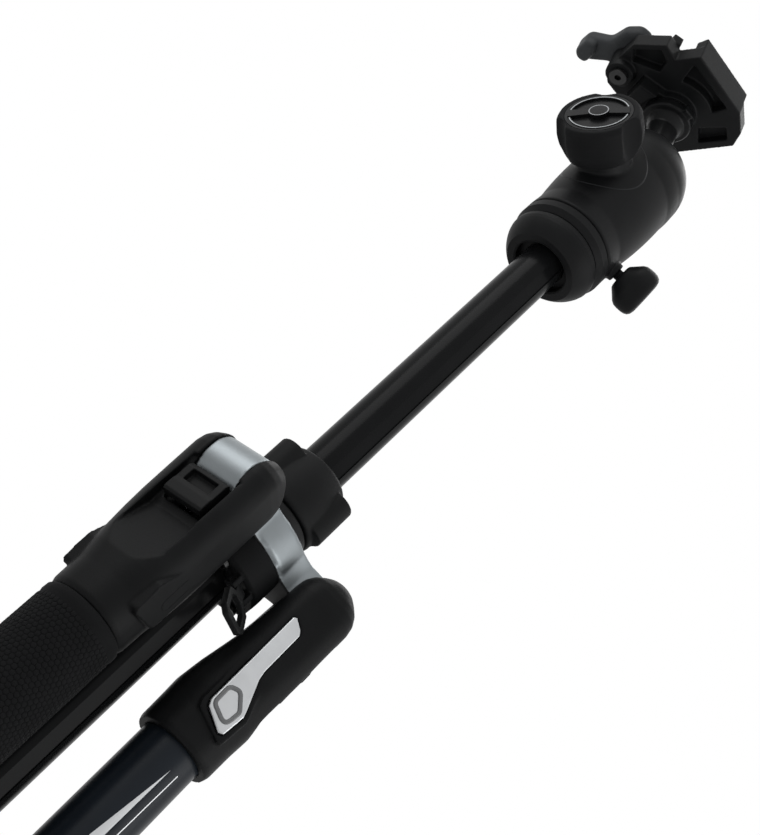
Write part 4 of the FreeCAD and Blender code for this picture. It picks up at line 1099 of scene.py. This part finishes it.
class TRIPOD_OT_column(bpy.types.Operator):
    bl_idname = "tripod.column"
    bl_label = "Centre column"
    bl_description = "Finish the centre column and the plate on top of it"

    def execute(self, context):
        """Finishes the column, its end cap and its head."""
        looks = context.scene.tripod_finishes
        column = smooth_black("column_anodised", looks.head, 0.22, 0.055, ALONG)
        head = powder_coat("head_base_coat", looks.head, 0.5, 0.4 * MM, 0.02 * MM, 0.1)
        plastic = powder_coat("end_plastic", looks.casting, 0.6)
        dress("column_tube", column)
        dress("column_end_cap", plastic)
        dress("column_head", head)
        dress("pan_base", head)
        return {"FINISHED"}


class TRIPOD_OT_head(bpy.types.Operator):
    bl_idname = "tripod.head"
    bl_label = "Ball head"
    bl_description = "Finish the ball housing, its knobs and the lever clamp"

    def execute(self, context):
        """Makes the housing, ball, knobs and clamp."""
        looks = context.scene.tripod_finishes
        housing = housing_coat("housing_coat", looks.head)
        head = powder_coat("head_coat", looks.head, 0.46, 0.4 * MM, 0.012 * MM, 0.1)
        ball = smooth_black("ball_satin", looks.head, 0.3)
        soft = rubber("knob_rubber", tinted(looks.rubber, 1.15), 0.72, 0.1)
        cap = cap_satin("cap_satin", looks.head, (0.34, 0.35, 0.36))
        ring = bright_line("ring_bright", (0.40, 0.42, 0.43), looks.head)
        clamp = powder_coat("clamp_coat", tinted(looks.casting, 1.1), 0.5)
        # The lever's paint is lighter than the casting's, and it is lightened further to carry a painted
        # sheen
        lever = powder_coat("lever_coat_and_sheen", tinted(looks.casting, 7.5), 0.5)
        screw = satin_metal("pivot_black", (0.06, 0.06, 0.06), 0.4)
        cast_piece("housing_casting", "ball_housing", housing, "housing")
        cast_piece("knob_moulding", "ball_knob", soft, "ball_knob")
        new_piece("pan_knob_moulding", pan_knob_mesh(), head, "pan_knob", ["pan_knob"])
        cast_piece("stem_turned", "ball_stem", ball, "ball")
        cast_piece("clamp_casting", "clamp_body", clamp, "clamp")
        new_piece("lever_casting", paddle_mesh(), lever, "clamp_lever", ["clamp_lever"])
        dress("ball_cup", ball)
        dress("knob_cap", cap)
        dress("knob_ring", ring)
        dress("lever_pin", screw)
        return {"FINISHED"}


class TRIPOD_OT_stage(bpy.types.Operator):
    bl_idname = "tripod.stage"
    bl_label = "Studio"
    bl_description = "Floor, lamps and the camera"

    def execute(self, context):
        """Lays the floor, hangs the lamps and sets the camera."""
        scene = context.scene
        scene.view_settings.view_transform = "Standard"
        lay_floor(scene)
        light_room(scene)
        hang_lamps(scene)
        set_camera(scene)
        return {"FINISHED"}


class TRIPOD_PT_panel(bpy.types.Panel):
    bl_idname = "TRIPOD_PT_panel"
    bl_label = "Travel Tripod"
    bl_space_type = "VIEW_3D"
    bl_region_type = "UI"
    bl_category = "Tripod"

    def draw(self, context):
        looks = context.scene.tripod_finishes
        for name in looks.__annotations__:
            self.layout.prop(looks, name)
        for step in STEPS:
            self.layout.operator(step.bl_idname)


STEPS = (TRIPOD_OT_castings, TRIPOD_OT_tubes, TRIPOD_OT_spider, TRIPOD_OT_column, TRIPOD_OT_head,
         TRIPOD_OT_stage)
CLASSES = (TripodFinishes,) + STEPS + (TRIPOD_PT_panel,)


def register():
    for item in CLASSES:
        bpy.utils.register_class(item)
    bpy.types.Scene.tripod_finishes = bpy.props.PointerProperty(type=TripodFinishes)


def unregister():
    del bpy.types.Scene.tripod_finishes
    for item in reversed(CLASSES):
        bpy.utils.unregister_class(item)


def main():
    register()
    bpy.ops.tripod.castings()
    bpy.ops.tripod.tubes()
    bpy.ops.tripod.spider()
    bpy.ops.tripod.column()
    bpy.ops.tripod.head()
    bpy.ops.tripod.stage()


if __name__ == "__main__":
    main()
